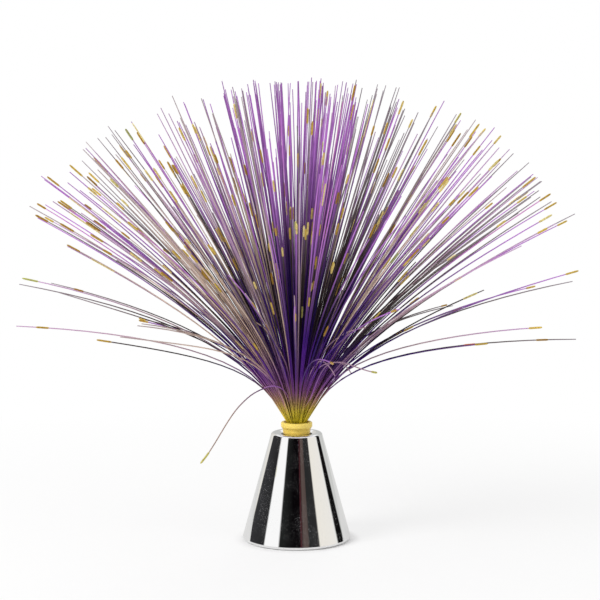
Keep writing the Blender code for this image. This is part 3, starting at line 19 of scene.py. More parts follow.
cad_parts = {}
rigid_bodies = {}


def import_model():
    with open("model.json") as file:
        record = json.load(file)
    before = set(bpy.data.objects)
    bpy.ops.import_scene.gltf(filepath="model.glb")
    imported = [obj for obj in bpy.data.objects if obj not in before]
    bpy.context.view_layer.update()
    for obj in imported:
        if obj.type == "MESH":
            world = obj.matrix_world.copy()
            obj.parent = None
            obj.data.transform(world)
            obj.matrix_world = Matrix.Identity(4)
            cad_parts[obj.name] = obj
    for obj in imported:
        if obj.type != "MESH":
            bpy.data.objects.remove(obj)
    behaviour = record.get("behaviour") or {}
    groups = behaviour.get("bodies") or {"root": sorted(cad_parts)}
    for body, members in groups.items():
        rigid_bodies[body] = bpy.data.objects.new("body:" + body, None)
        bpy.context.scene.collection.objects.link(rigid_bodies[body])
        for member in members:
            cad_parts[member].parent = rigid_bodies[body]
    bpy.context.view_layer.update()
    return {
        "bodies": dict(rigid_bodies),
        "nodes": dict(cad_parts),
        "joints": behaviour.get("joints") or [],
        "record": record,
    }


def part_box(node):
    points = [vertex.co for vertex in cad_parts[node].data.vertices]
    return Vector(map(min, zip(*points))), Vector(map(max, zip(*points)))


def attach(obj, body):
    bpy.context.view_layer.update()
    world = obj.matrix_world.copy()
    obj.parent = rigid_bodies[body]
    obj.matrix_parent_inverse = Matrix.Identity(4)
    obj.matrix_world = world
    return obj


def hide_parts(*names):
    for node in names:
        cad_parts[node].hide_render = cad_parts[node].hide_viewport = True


MM = 0.001
SEED = 33
FRAME_PIXELS = 600
SMOOTH_ANGLE = math.radians(32.0)
# Most of a noise's values lie between these two.
NOISE_MIDDLE = (0.3, 0.7)
# Ways that no bar and no tube starts along.
SWEEP_SIDE = (0.31, 0.87, 0.38)
TUBE_SIDE = (0.13, 0.31, -0.94)
TINY = MM / 1000
NEAR = MM / 100
FLATTEST = math.radians(86.0)
FINE_EDGE = 0.08 * MM
GOLDEN_SHARE = (math.sqrt(5) - 1) / 2
GOLDEN_ANGLE = math.pi * (3 - math.sqrt(5))

Point = tuple[float, float]
Place = tuple[float, float, float]
Colour = tuple[float, float, float]
Stops = tuple[tuple[float, Colour], ...]
Socket = bpy.types.NodeSocket
Dice = np.random.Generator
Piece = bpy.types.Object

log = logging.getLogger("lamp")


def tint(red: int, green: int, blue: int) -> Colour:
    """A screen colour, from 0 to 255, as the linear colour that shaders take."""
    parts = [part / 255 for part in (red, green, blue)]
    return tuple(p / 12.92 if p <= 0.04045 else ((p + 0.055) / 1.055) ** 2.4 for p in parts)


def shades(*rows: tuple[float, int, int, int]) -> Stops:
    """Colour stops from rows of place, red, green and blue."""
    return tuple((place, tint(*colour)) for place, *colour in rows)


def beyond(rows: Iterable[Sequence[float]], place: float) -> Sequence[float]:
    """What the first row says whose limit, its first number, lies beyond a place."""
    return next(row[1:] for row in rows if place < row[0])


def arc(centre: Point, radius: float, start: float, end: float, steps: int) -> list[Point]:
    """Points of an arc in the (radius, height) plane, from one angle to another in degrees."""
    angles = np.radians(np.linspace(start, end, steps + 1))
    return [(centre[0] + radius * math.cos(a), centre[1] + radius * math.sin(a)) for a in angles]


def filleted(corners: Sequence[Place], steps: int = 5) -> list[Point]:
    """Rounds the corners of a closed outline.

    Args:
        corners: (radius, height, fillet) of each corner.
        steps: straight steps in each rounded corner.

    Returns:
        The outline's points.
    """
    outline: list[Point] = []
    count = len(corners)
    for i, (r, z, fillet) in enumerate(corners):
        here = Vector((r, z))
        if fillet <= 0.0:
            outline.append((r, z))
            continue
        before = Vector(corners[i - 1][:2]) - here
        after = Vector(corners[(i + 1) % count][:2]) - here
        reach = min(fillet / math.tan(before.angle(after) / 2), before.length / 2, after.length / 2)
        first, last = here + before.normalized() * reach, here + after.normalized() * reach
        for step in range(steps + 1):
            t = step / steps
            point = first * (1 - t) ** 2 + here * (2 * t * (1 - t)) + last * t * t
            outline.append((point.x, point.y))
    return outline


def offset_path(path: Sequence[Point], distance: float) -> list[Point]:
    """The path moved sideways to its right, its corners mitred.

    Args:
        path: points of an open path.
        distance: how far it moves.

    Returns:
        As many points, moved.
    """
    places = [Vector(p) for p in path]
    moved = []
    for i, here in enumerate(places):
        before = (here - places[i - 1]).normalized() if i else None
        after = (places[i + 1] - here).normalized() if i + 1 < len(places) else None
        first, second = before or after, after or before
        side = Vector((first.y, -first.x)) + Vector((second.y, -second.x))
        side.normalize()
        moved.append(tuple(here + side * (distance / side.dot(Vector((first.y, -first.x))))))
    return moved


def smooth_line(knots: Sequence[Vector], step: float) -> list[Vector]:
    """Points on a smooth curve through the knots.

    Args:
        knots: the points that the curve passes.
        step: rough distance between the new points.

    Returns:
        The points, both ends among them.
    """
    padded = [2 * knots[0] - knots[1], *knots, 2 * knots[-1] - knots[-2]]
    line = []
    for a, b, c, d in zip(padded, padded[1:], padded[2:], padded[3:]):
        count = max(2, round((c - b).length / step))
        for i in range(count):
            t = i / count
            bend = (2 * a - 5 * b + 4 * c - d) * t * t + (3 * b - a - 3 * c + d) * t**3
            line.append((2 * b + (c - a) * t + bend) / 2)
    line.append(Vector(knots[-1]))
    return line


class Nodes:
    """A node tree, with short calls for the nodes that the looks share."""

    def __init__(self, tree: bpy.types.NodeTree, place: str = "Object") -> None:
        """Takes a tree, and the name of the coordinate that its patterns are read at."""
        self.tree = tree
        self.place: Socket = self.add("ShaderNodeTexCoord").outputs[place]

    def add(self, kind: str, **settings: object) -> bpy.types.Node:
        """Adds a node and sets its properties.

        Args:
            kind: the node's type.
            settings: its properties by name.

        Returns:
            The node.
        """
        node = self.tree.nodes.new(kind)
        for key, value in settings.items():
            setattr(node, key, value)
        return node

    def feed(self, target: Socket, value: object) -> None:
        """Gives a socket its value.

        Args:
            target: the socket.
            value: a socket to link it to, a colour, or any other plain value.
        """
        if isinstance(value, bpy.types.NodeSocket):
            self.tree.links.new(value, target)
        elif isinstance(value, tuple) and target.type == "RGBA":
            target.default_value = (*value, 1.0)
        else:
            target.default_value = value

    def axes(self) -> list[Socket]:
        """X, Y and Z of the place.

        Returns:
            The three sockets.
        """
        node = self.add("ShaderNodeSeparateXYZ")
        self.feed(node.inputs["Vector"], self.place)
        return list(node.outputs)

    def maths(self, operation: str, first: object, *others: object) -> Socket:
        """One operation on a value, or on it and each further value in turn.

        Args:
            operation: the operation's name.
            first: the first value, a socket or a number.
            others: the values that follow it.

        Returns:
            The socket with the result.
        """
        for other in others or (0.0,):
            node = self.add("ShaderNodeMath", operation=operation)
            self.feed(node.inputs[0], first)
            self.feed(node.inputs[1], other)
            first = node.outputs["Value"]
        return first

    def times(self, *values: object) -> Socket:
        """The values multiplied."""
        return self.maths("MULTIPLY", *values)

    def plus(self, *values: object) -> Socket:
        """The values added up."""
        return self.maths("ADD", *values)

    def spread(self, value: Socket, low: float, high: float, first: float = 0.0, last: float = 1.0) -> Socket:
        """The value read from one range into another, held at its ends.

        Args:
            value: what is read.
            low: start of the range it is read from.
            high: end of that range.
            first: result at low.
            last: result at high.

        Returns:
            The socket with the result.
        """
        node = self.add("ShaderNodeMapRange", clamp=True)
        names = ("Value", "From Min", "From Max", "To Min", "To Max")
        for name, given in zip(names, (value, low, high, first, last)):
            self.feed(node.inputs[name], given)
        return node.outputs["Result"]

    def between(self, noise: Socket, low: float, high: float) -> Socket:
        """The middle values of a noise read into a range of their own."""
        return self.spread(noise, *NOISE_MIDDLE, low, high)

    def ramp(self, value: Socket, stops: Stops) -> Socket:
        """A colour by the value, blended between the stops.

        Args:
            value: the place on the ramp, from 0 to 1.
            stops: (place, colour) of each stop, in order.

        Returns:
            The socket with the colour.
        """
        node = self.add("ShaderNodeValToRGB")
        band = node.color_ramp
        while len(band.elements) < len(stops):
            band.elements.new(1.0)
        for element, (place, colour) in zip(band.elements, stops):
            element.position = place
            element.color = (*colour, 1.0)
        self.feed(node.inputs["Fac"], value)
        return node.outputs["Color"]

    def mix(self, share: object, first: object, second: object, way: str = "MIX") -> Socket:
        """Two colours mixed.

        Args:
            share: how much of the second, a socket or a number.
            first: the colour at 0.
            second: the colour at 1.
            way: the blend mode.

        Returns:
            The socket with the colour.
        """
        node = self.add("ShaderNodeMix", data_type="RGBA", blend_type=way)
        for target, value in zip([s for s in node.inputs if s.enabled], (share, first, second)):
            self.feed(target, value)
        return next(s for s in node.outputs if s.enabled)

    def blend(self, share: Socket, first: Socket, second: Socket) -> Socket:
        """Two shaders mixed, the second by its share.

        Args:
            share: how much of the second.
            first: the shader at 0.
            second: the shader at 1.

        Returns:
            The socket with the shader.
        """
        node = self.add("ShaderNodeMixShader")
        for target, value in zip(node.inputs, (share, first, second)):
            self.feed(target, value)
        return node.outputs[0]


class Shader(Nodes):
    """A material's node tree, with its Principled shader."""

    def __init__(self, name: str) -> None:
        """Makes a material of that name.

        Args:
            name: the material's name.
        """
        self.material = bpy.data.materials.new(name)
        self.material.use_nodes = True
        super().__init__(self.material.node_tree)
        self.skin = self.tree.nodes["Principled BSDF"]

    def set(self, **values: object) -> None:
        """Sets or links the Principled sockets, named with _ for each space."""
        for key, value in values.items():
            self.feed(self.skin.inputs[key.replace("_", " ")], value)

    def stretched(self, sizes: Place) -> Socket:
        """The place with each axis divided by a size, for grain that runs one way.

        Args:
            sizes: the grain's size along X, Y and Z.

        Returns:
            The socket with the place.
        """
        node = self.add("ShaderNodeMapping")
        self.feed(node.inputs["Vector"], self.place)
        node.inputs["Scale"].default_value = [1.0 / size for size in sizes]
        return node.outputs["Vector"]

    def noise(self, size: float, detail: float = 2.0, vector: Socket | None = None) -> Socket:
        """Cloudy noise from 0 to 1.

        Args:
            size: width of its largest forms.
            detail: how many finer layers it has.
            vector: where it is read, or None for the object's place.

        Returns:
            The socket with its value.
        """
        node = self.add("ShaderNodeTexNoise")
        self.feed(node.inputs["Vector"], vector or self.place)
        node.inputs["Scale"].default_value = 1.0 / size
        node.inputs["Detail"].default_value = detail
        return node.outputs["Fac"]

    def cells(self, size: float, feature: str = "F1") -> bpy.types.NodeOutputs:
        """Scattered cells of about a size: Distance from their middles or edges, and Color.

        Args:
            size: rough width of a cell.
            feature: what Distance is measured from.

        Returns:
            The node's outputs.
        """
        node = self.add("ShaderNodeTexVoronoi", feature=feature)
        self.feed(node.inputs["Vector"], self.place)
        node.inputs["Scale"].default_value = 1.0 / size
        return node.outputs

    def bump(self, height: Socket, depth: float, under: Socket | None = None) -> Socket:
        """Relief from a height.

        Args:
            height: the relief, 0 to 1.
            depth: how far 1 stands above 0.
            under: a relief that this one lies on.

        Returns:
            The socket with the normal.
        """
        node = self.add("ShaderNodeBump")
        self.feed(node.inputs["Height"], height)
        node.inputs["Distance"].default_value = depth
        if under is not None:
            self.feed(node.inputs["Normal"], under)
        return node.outputs["Normal"]

    def attribute(self, name: str) -> Socket:
        """A value stored on the mesh."""
        return self.add("ShaderNodeAttribute", attribute_name=name).outputs["Fac"]


@dataclass(frozen=True)
class Finish:
    """What every finish has: a name, and a material that is built once."""

    name: str

    def build(self) -> bpy.types.Material:
        """The finish's material, made at its first use.

        Returns:
            The material.
        """
        made = bpy.data.materials.get(self.name)
        if made is None:
            shader = Shader(self.name)
            self.paint(shader)
            made = shader.material
        return made

    def paint(self, shader: Shader) -> None:
        """Builds the finish's nodes in a new shader."""
        raise NotImplementedError


@dataclass(frozen=True)
class MirrorChrome(Finish):
    """Bright plating with dust, hairline scratches and faint smears."""

    metal: Colour = tint(248, 248, 249)
    dust: Colour = tint(226, 229, 232)
    dust_spacing: float = 1.3 * MM
    speck_edge: Point = (0.13, 0.2)
    speck_choice: Point = (0.46, 0.54)
    patch_edge: Point = (0.44, 0.62)
    patch_least: float = 0.04
    haze_edge: Point = (0.5, 0.72)
    scratch_size: Place = (0.22 * MM, 0.22 * MM, 9.0 * MM)
    scratch_edge: float = 0.006
    worn_edge: Point = (0.5, 0.62)
    dust_weight: float = 0.36
    scratch_weight: float = 0.07
    haze_weight: float = 0.08
    smear_size: float = 14.0 * MM
    smear_edge: Point = (0.35, 0.75)
    smear_roughness: Point = (0.015, 0.07)
    veil_roughness: float = 0.5
    ripple: float = 0.04 * MM

    def paint(self, shader: Shader) -> None:
        """Plating, with specks and scratches that lower its shine.

        Args:
            shader: the finish's new shader.
        """
        specks = shader.cells(self.dust_spacing)
        grain = shader.spread(specks["Distance"], *self.speck_edge, 1.0, 0.0)
        chosen = shader.spread(specks["Color"], *self.speck_choice)
        patches = shader.spread(shader.noise(self.smear_size, 3.0), *self.patch_edge, self.patch_least)
        haze = shader.spread(shader.noise(self.dust_spacing / 2, 4.0), *self.haze_edge)
        hair = shader.noise(1.0, 1.0, shader.stretched(self.scratch_size))
        apart = shader.maths("ABSOLUTE", shader.maths("SUBTRACT", hair, 0.5))
        fine = shader.spread(apart, 0.0, self.scratch_edge, 1.0, 0.0)
        worn = shader.spread(shader.noise(self.smear_size / 2), *self.worn_edge)
        veil = shader.maths(
            "MAXIMUM",
            shader.times(grain, chosen, patches, self.dust_weight),
            shader.times(fine, worn, self.scratch_weight),
            shader.times(haze, patches, self.haze_weight),
        )
        smear = shader.spread(shader.noise(self.smear_size, 4.0), *self.smear_edge, *self.smear_roughness)
        shader.set(
            Base_Color=shader.mix(veil, self.metal, self.dust),
            Metallic=shader.spread(veil, 0.0, 1.0, 1.0, 0.0),
            Roughness=shader.plus(smear, shader.times(veil, self.veil_roughness)),
            Normal=shader.bump(shader.noise(self.smear_size * 2, 1.0), self.ripple),
        )


@dataclass(frozen=True)
class MilkyPlastic(Finish):
    """A slightly see-through moulding, lighter at the top as painted light and darker low down as painted
    shade, with turned marks.
    """

    # high and low: the moulding's colour at its top and at its foot; the lighter top is painted light, the
    # darker foot painted shade.
    high: Colour = tint(252, 226, 116)
    low: Colour = tint(244, 206, 88)
    foot: float = 76.2 * MM
    top: float = 84.4 * MM
    depth: float = 1.4 * MM
    ring_size: Place = (40.0 * MM, 40.0 * MM, 0.5 * MM)
    ring_relief: float = 0.03 * MM
    scuff_size: float = 0.7 * MM
    scuff_relief: float = 0.006 * MM
    cloud_size: float = 3.0 * MM
    height_shade_share: float = 0.7
    cloud_share: float = 0.4
    roughness: Point = (0.28, 0.46)
    glow: float = 0.05
    glow_reach: Place = (1.0, 0.7, 0.3)

    def paint(self, shader: Shader) -> None:
        """Colour by height, as painted light at the top and painted shade at the foot, and by cloud, and fine
        rings from the mould.

        Args:
            shader: the finish's new shader.
        """
        # Painted light and shade: the colour darkens by height towards the foot.
        rise = shader.spread(shader.axes()[2], self.foot, self.top)
        cloud = shader.noise(self.cloud_size, 3.0)
        share = shader.plus(shader.times(rise, self.height_shade_share), shader.times(cloud, self.cloud_share))
        rings = shader.noise(1.0, 2.0, shader.stretched(self.ring_size))
        scuffs = shader.noise(self.scuff_size, 3.0)
        shader.set(
            Base_Color=shader.mix(share, self.low, self.high),
            Roughness=shader.between(scuffs, *self.roughness),
            Subsurface_Weight=self.glow,
            Subsurface_Radius=self.glow_reach,
            Subsurface_Scale=self.depth,
            IOR=1.5,
            Normal=shader.bump(rings, self.ring_relief, shader.bump(scuffs, self.scuff_relief)),
        )


@dataclass(frozen=True)
class StrandDyeAndShade(Finish):
    """Dyed strands: olive at the foot, then violet, smoke or taupe, by what each vertex stores; painted shade
    darkens them midway and painted light brightens their ends.
    """

    # Each ramp's dark middle is partly the dye and partly painted shade of the crowded middle of the spray.
    violet: Stops = shades(
        (0.0, 232, 216, 44), (0.05, 226, 204, 66), (0.085, 188, 150, 104), (0.125, 148, 86, 152),
        (0.2, 92, 36, 144), (0.34, 66, 18, 124), (0.5, 102, 66, 124), (0.7, 144, 92, 168),
        (0.88, 168, 108, 186), (1.0, 154, 98, 172),
    )
    smoke: Stops = shades(
        (0.0, 226, 208, 48), (0.05, 214, 188, 68), (0.09, 166, 126, 98), (0.16, 96, 52, 110),
        (0.24, 60, 26, 100), (0.34, 42, 30, 34), (0.52, 62, 50, 50), (0.72, 114, 102, 106),
        (1.0, 132, 122, 130),
    )
    taupe: Stops = shades(
        (0.0, 232, 212, 52), (0.05, 222, 196, 78), (0.09, 188, 150, 116), (0.17, 142, 88, 152),
        (0.3, 192, 160, 146), (0.55, 206, 184, 168), (0.8, 172, 154, 152), (1.0, 160, 146, 150),
    )
    # A pale pink on the lightest strands midway: a painted highlight for their lengthwise sheen.
    highlight_pink: Colour = tint(176, 112, 168)
    highlight_tones: Point = (0.7, 0.95)
    highlight_places: Point = (0.5, 0.8)
    indigo: Colour = tint(50, 16, 128)
    indigo_tones: Point = (0.15, 0.4)
    indigo_rise: Point = (0.2, 0.3)
    indigo_fall: Point = (0.42, 0.6)
    indigo_most: float = 0.85
    shift: float = 0.05
    tone_range: Point = (0.0, 1.2)
    light: Point = (0.3, 1.6)
    streak_light: Point = (-0.12, 0.14)
    # Where and how much painted light brightens the strands towards their ends.
    painted_end_places: Point = (0.35, 0.85)
    painted_end_light: float = 0.5
    brightest: float = 1.42
    streak_size: float = 6.0 * MM
    roughness: Point = (0.3, 0.5)
    gloss: float = 0.12
    grain: float = 1.2 * MM
    relief: float = 0.02 * MM

    def paint(self, shader: Shader) -> None:
        """One ramp per family, mixed by the stored shares and varied strand by strand, with painted light and
        shade laid on.

        Args:
            shader: the finish's new shader.
        """
        along, tone = shader.attribute("along"), shader.attribute("tone")
        place = shader.plus(along, shader.times(shader.maths("SUBTRACT", tone, 0.5), self.shift))
        # Painted highlight: the pink laid on the lightest strands midway.
        painted_highlight_share = shader.times(shader.spread(tone, *self.highlight_tones), shader.spread(along, *self.highlight_places))
        colour = shader.mix(painted_highlight_share, shader.ramp(place, self.violet), self.highlight_pink)
        rise = shader.spread(along, *self.indigo_rise)
        inner = shader.times(rise, shader.spread(along, *self.indigo_fall, 1.0, 0.0))
        deep = shader.times(inner, shader.spread(tone, *self.indigo_tones, self.indigo_most, 0.0))
        colour = shader.mix(deep, colour, self.indigo)
        for family in ("smoke", "taupe"):
            shade = shader.ramp(place, getattr(self, family))
            colour = shader.mix(shader.attribute(family), colour, shade)
        streak = shader.noise(self.streak_size, 3.0)
        # Painted light: strands grow paler towards their ends; the rest is their own tone and streaks.
        tone_and_painted_light = shader.plus(
            shader.between(streak, *self.streak_light),
            shader.spread(along, *self.painted_end_places, 0.0, self.painted_end_light),
            shader.spread(tone, *self.tone_range, *self.light),
        )
        light_and_shade_grey = shader.add("ShaderNodeCombineColor")
        for target in light_and_shade_grey.inputs:
            shader.feed(target, shader.maths("MINIMUM", tone_and_painted_light, self.brightest))
        shader.set(
            Base_Color=shader.mix(1.0, colour, light_and_shade_grey.outputs["Color"], "MULTIPLY"),
            Roughness=shader.between(streak, *self.roughness),
            IOR=1.49,
            Specular_IOR_Level=self.gloss,
            Normal=shader.bump(shader.noise(self.grain, 2.0), self.relief),
        )


@dataclass(frozen=True)
class GoldDip(Finish):
    """Gold dip on strand ends, from bright to worn, with a few pale, green and red ones."""

    tones: Stops = shades(
        (0.0, 136, 98, 32), (0.25, 190, 146, 46), (0.6, 228, 196, 86), (0.8, 248, 230, 156),
        (0.87, 212, 208, 112), (0.92, 160, 190, 120), (0.95, 226, 130, 84), (1.0, 206, 104, 84),
    )
    # Brown of the blotches: partly the dip's own patchiness and partly painted shade for the tips' dark
    # edges.
    blotch_and_shade: Colour = tint(128, 84, 16)
    bared: Colour = tint(120, 96, 90)
    blotch_size: float = 1.6 * MM
    blotch_edge: Point = (0.4, 0.7)
    blotch_share: float = 0.4
    bare_size: float = 0.8 * MM
    bare_edge: Point = (0.62, 0.72)
    bare_share: float = 0.35
    shine: Point = (0.4, 0.1)
    roughness: Point = (0.26, 0.5)
    relief: float = 0.08 * MM

    def paint(self, shader: Shader) -> None:
        """Tone by strand, brown blotches along it that are partly painted shade, and a rough dipped skin.

        Args:
            shader: the finish's new shader.
        """
        blotch = shader.noise(self.blotch_size, 3.0)
        bare = shader.spread(shader.noise(self.bare_size), *self.bare_edge)
        colour = shader.ramp(shader.attribute("tone"), self.tones)
        share = shader.spread(blotch, *self.blotch_edge, 0.0, self.blotch_share)
        dip_and_shade = shader.mix(share, colour, self.blotch_and_shade)
        shader.set(
            Base_Color=shader.mix(shader.times(bare, self.bare_share), dip_and_shade, self.bared),
            Metallic=shader.spread(bare, 0.0, 1.0, *self.shine),
            Roughness=shader.between(blotch, *self.roughness),
            Normal=shader.bump(blotch, self.relief),
        )


@dataclass(frozen=True)
class Moulding(Finish):
    """Moulded plastic or rubber with a fine grain, soft blotches and rubbed spots."""

    colour: Colour = tint(34, 34, 36)
    rubbed: Colour = tint(70, 70, 72)
    roughness: float = 0.45
    grain: float = 0.35 * MM
    relief: float = 0.03 * MM
    coat: float = 0.0
    swing: Point = (0.08, 0.12)
    blotch_size: float = 9.0 * MM
    blotch_edge: Point = (0.3, 0.8)
    blotch_share: float = 0.2
    spot_size: float = 2.2 * MM
    spot_edge: Point = (0.6, 0.74)
    spot_share: float = 0.35

    def paint(self, shader: Shader) -> None:
        """Blotched colour, grain and rubbed spots.

        Args:
            shader: the finish's new shader.
        """
        blotch = shader.noise(self.blotch_size, 3.0)
        spots = shader.spread(shader.noise(self.spot_size, 4.0), *self.spot_edge)
        faded = shader.spread(blotch, *self.blotch_edge, 0.0, self.blotch_share)
        share = shader.plus(shader.times(spots, self.spot_share), faded)
        grain = shader.cells(self.grain)["Distance"]
        smooth, rough = self.roughness - self.swing[0], self.roughness + self.swing[1]
        shader.set(
            Base_Color=shader.mix(share, self.colour, self.rubbed),
            Roughness=shader.between(blotch, smooth, rough),
            Coat_Weight=self.coat,
            Normal=shader.bump(grain, self.relief, shader.bump(spots, self.relief / 3)),
        )


@dataclass(frozen=True)
class PlatedMetal(Finish):
    """Plated steel with a drawn grain, tarnish and small pits."""

    colour: Colour = tint(206, 204, 198)
    tarnish: Colour = tint(148, 138, 118)
    roughness: float = 0.24
    grain: Place = (0.3 * MM, 6.0 * MM, 0.3 * MM)
    grain_relief: float = 0.012 * MM
    pit_spacing: float = 0.9 * MM
    pit_depth: float = 0.02 * MM
    pit_edge: Point = (0.05, 0.12)
    pit_roughness: float = 0.2
    dull_size: float = 3.5 * MM
    dull_edge: Point = (0.45, 0.75)
    dullest: float = 0.7
    dull_roughness: float = 0.45

    def paint(self, shader: Shader) -> None:
        """Grain, tarnish and pits.

        Args:
            shader: the finish's new shader.
        """
        brushed = shader.noise(1.0, 2.0, shader.stretched(self.grain))
        dull = shader.spread(shader.noise(self.dull_size, 4.0), *self.dull_edge, 0.0, self.dullest)
        pits = shader.spread(shader.cells(self.pit_spacing)["Distance"], *self.pit_edge, 1.0, 0.0)
        rough = shader.spread(dull, 0.0, self.dullest, self.roughness, self.dull_roughness)
        shader.set(
            Base_Color=shader.mix(dull, self.colour, self.tarnish),
            Metallic=1.0,
            Roughness=shader.plus(rough, shader.times(pits, self.pit_roughness)),
            Normal=shader.bump(brushed, self.grain_relief, shader.bump(pits, self.pit_depth)),
        )


@dataclass(frozen=True)
class CellSleeve(Finish):
    """The plain sleeve of a dry cell: a dark body with a band at one end."""

    body: Colour = tint(36, 78, 96)
    band: Colour = tint(176, 128, 74)
    scuffed: Colour = tint(200, 200, 196)
    split: float = 12.0 * MM
    blur: float = 0.1 * MM
    wrinkle_size: Place = (0.6 * MM, 5.0 * MM, 5.0 * MM)
    scuff_size: float = 1.5 * MM
    scuff_edge: Point = (0.6, 0.75)
    scuff_share: float = 0.3
    roughness: Point = (0.22, 0.4)
    coat: Point = (0.4, 0.15)
    relief: float = 0.03 * MM

    def paint(self, shader: Shader) -> None:
        """Two plain colours by the distance stored on the mesh, with shrink marks.

        Args:
            shader: the finish's new shader.
        """
        edge = (self.split - self.blur, self.split + self.blur)
        share = shader.spread(shader.attribute("along"), *edge, 1.0, 0.0)
        wrinkle = shader.noise(1.0, 3.0, shader.stretched(self.wrinkle_size))
        scuff = shader.spread(shader.noise(self.scuff_size, 4.0), *self.scuff_edge, 0.0, self.scuff_share)
        shader.set(
            Base_Color=shader.mix(scuff, shader.mix(share, self.body, self.band), self.scuffed),
            Roughness=shader.between(wrinkle, *self.roughness),
            Coat_Weight=self.coat[0],
            Coat_Roughness=self.coat[1],
            Normal=shader.bump(wrinkle, self.relief),
        )


@dataclass(frozen=True)
class LampLens(Finish):
    """Tinted clear epoxy of a dome lamp."""

    colour: Colour = tint(226, 214, 236)
    clouded: Colour = tint(250, 246, 252)
    cloud_size: float = 1.4 * MM
    clearness: float = 0.85
    roughness: Point = (0.04, 0.16)
    relief: float = 0.02 * MM

    def paint(self, shader: Shader) -> None:
        """Mostly see-through, with a faint cloud near the die.

        Args:
            shader: the finish's new shader.
        """
        cloud = shader.noise(self.cloud_size)
        shader.set(
            Base_Color=shader.mix(cloud, self.colour, self.clouded),
            Transmission_Weight=self.clearness,
            Roughness=shader.between(cloud, *self.roughness),
            IOR=1.5,
            Normal=shader.bump(cloud, self.relief),
        )


@dataclass(frozen=True)
class CircuitCard(Finish):
    """Solder mask over copper: green, with paler traces and dull pads."""

    mask: Colour = tint(22, 96, 52)
    trace: Colour = tint(44, 132, 74)
    pad: Colour = tint(196, 190, 176)
    spacing: float = 3.2 * MM
    trace_relief: float = 0.03 * MM
    weave_size: float = 0.4 * MM
    weave_relief: float = 0.01 * MM
    trace_edge: Point = (0.06, 0.08)
    pad_edge: Point = (0.14, 0.17)
    roughness: Point = (0.3, 0.48)

    def paint(self, shader: Shader) -> None:
        """Cell edges stand for the traces, and small dots for the pads.

        Args:
            shader: the finish's new shader.
        """
        edges = shader.cells(self.spacing, "DISTANCE_TO_EDGE")["Distance"]
        traces = shader.spread(edges, *self.trace_edge, 1.0, 0.0)
        pads = shader.spread(shader.cells(self.spacing)["Distance"], *self.pad_edge, 1.0, 0.0)
        weave = shader.noise(self.weave_size, 2.0)
        shader.set(
            Base_Color=shader.mix(pads, shader.mix(traces, self.mask, self.trace), self.pad),
            Metallic=shader.times(pads, 0.9),
            Roughness=shader.between(weave, *self.roughness),
            Normal=shader.bump(traces, self.trace_relief, shader.bump(weave, self.weave_relief)),
        )


@dataclass(frozen=True)
class PottedEnds(Finish):
    """The polished foot of the bundle: strand ends in amber glue."""

    glue: Colour = tint(150, 118, 52)
    end: Colour = tint(212, 204, 176)
    spacing: float = 0.52 * MM
    bead_edge: Point = (0.3, 0.5)
    cloud_size: float = 1.1 * MM
    roughness: Point = (0.2, 0.4)
    coat: float = 0.3
    relief: float = 0.05 * MM

    def paint(self, shader: Shader) -> None:
        """Glue between the strands, clouded.

        Args:
            shader: the finish's new shader.
        """
        cloud = shader.noise(self.cloud_size, 3.0)
        beads = shader.cells(self.spacing)["Distance"]
        ends = shader.spread(beads, *self.bead_edge, 1.0, 0.0)
        shader.set(
            Base_Color=shader.mix(ends, self.glue, self.end),
            Roughness=shader.between(cloud, *self.roughness),
            Coat_Weight=self.coat,
            Normal=shader.bump(beads, self.relief),
        )


CHROME = MirrorChrome("plating_mirror")
COLLAR_PLASTIC = MilkyPlastic("moulding_yellow")
DYE_AND_SHADE = StrandDyeAndShade("strand_dye_and_shade")
GOLD = GoldDip("gold_dip")
POTTED = PottedEnds("potted_ends")
BLACK = Moulding("moulding_black")
GRAPHITE = Moulding("moulding_graphite", tint(58, 58, 62), tint(100, 100, 104))
WHITE = Moulding("moulding_white", tint(226, 226, 220), tint(206, 202, 190), 0.36, 0.5 * MM, 0.015 * MM)
RUBBER = Moulding("rubber_foot", tint(40, 39, 38), tint(84, 82, 80), 0.74, 0.25 * MM, 0.05 * MM)
RING_RUBBER = Moulding("rubber_ring", tint(62, 56, 50), tint(92, 86, 78), 0.6, 0.3 * MM, 0.03 * MM)
CHIP = Moulding("epoxy_black", tint(24, 24, 25), tint(60, 60, 60), 0.5, 0.2 * MM, 0.02 * MM)
CAN = Moulding("sleeve_blue", tint(34, 46, 104), tint(90, 100, 140), 0.3, 0.6 * MM, 0.01 * MM, 0.3)
RED_WIRE = Moulding("insulation_red", tint(170, 30, 28), tint(196, 92, 86), 0.36, 0.6 * MM, 0.01 * MM, 0.2)
BLACK_WIRE = Moulding("insulation_black", tint(30, 30, 31), tint(70, 70, 70), 0.36, 0.6 * MM, 0.01 * MM, 0.2)
NICKEL = PlatedMetal("plating_nickel")
STEEL_GRAIN = (0.3 * MM, 0.3 * MM, 5.0 * MM)
STEEL = PlatedMetal("plating_steel", tint(178, 178, 180), tint(120, 116, 110), 0.3, STEEL_GRAIN)
SLEEVE = CellSleeve("cell_wrap")
LENS = LampLens("lamp_epoxy")
CARD = CircuitCard("card_green")


def place_mesh(name: str, points: Iterable, faces: Iterable, finishes: Sequence[Finish]) -> Piece:
    """Links a mesh as an object, smooth with its sharp edges kept.

    Args:
        name: the piece's name.
        points: its vertices.
        faces: its faces, as rows of vertex numbers.
        finishes: its finishes, in the order of the material slots.

    Returns:
        The new object.
    """
    mesh = bpy.data.meshes.new(name)
    mesh.from_pydata(list(points), [], list(faces))
    mesh.validate()
    for finish in finishes:
        mesh.materials.append(finish.build())
    mesh.shade_smooth()
    mesh.set_sharp_from_angle(angle=SMOOTH_ANGLE)
    made = bpy.data.objects.new(name, mesh)
    bpy.context.scene.collection.objects.link(made)
    return made


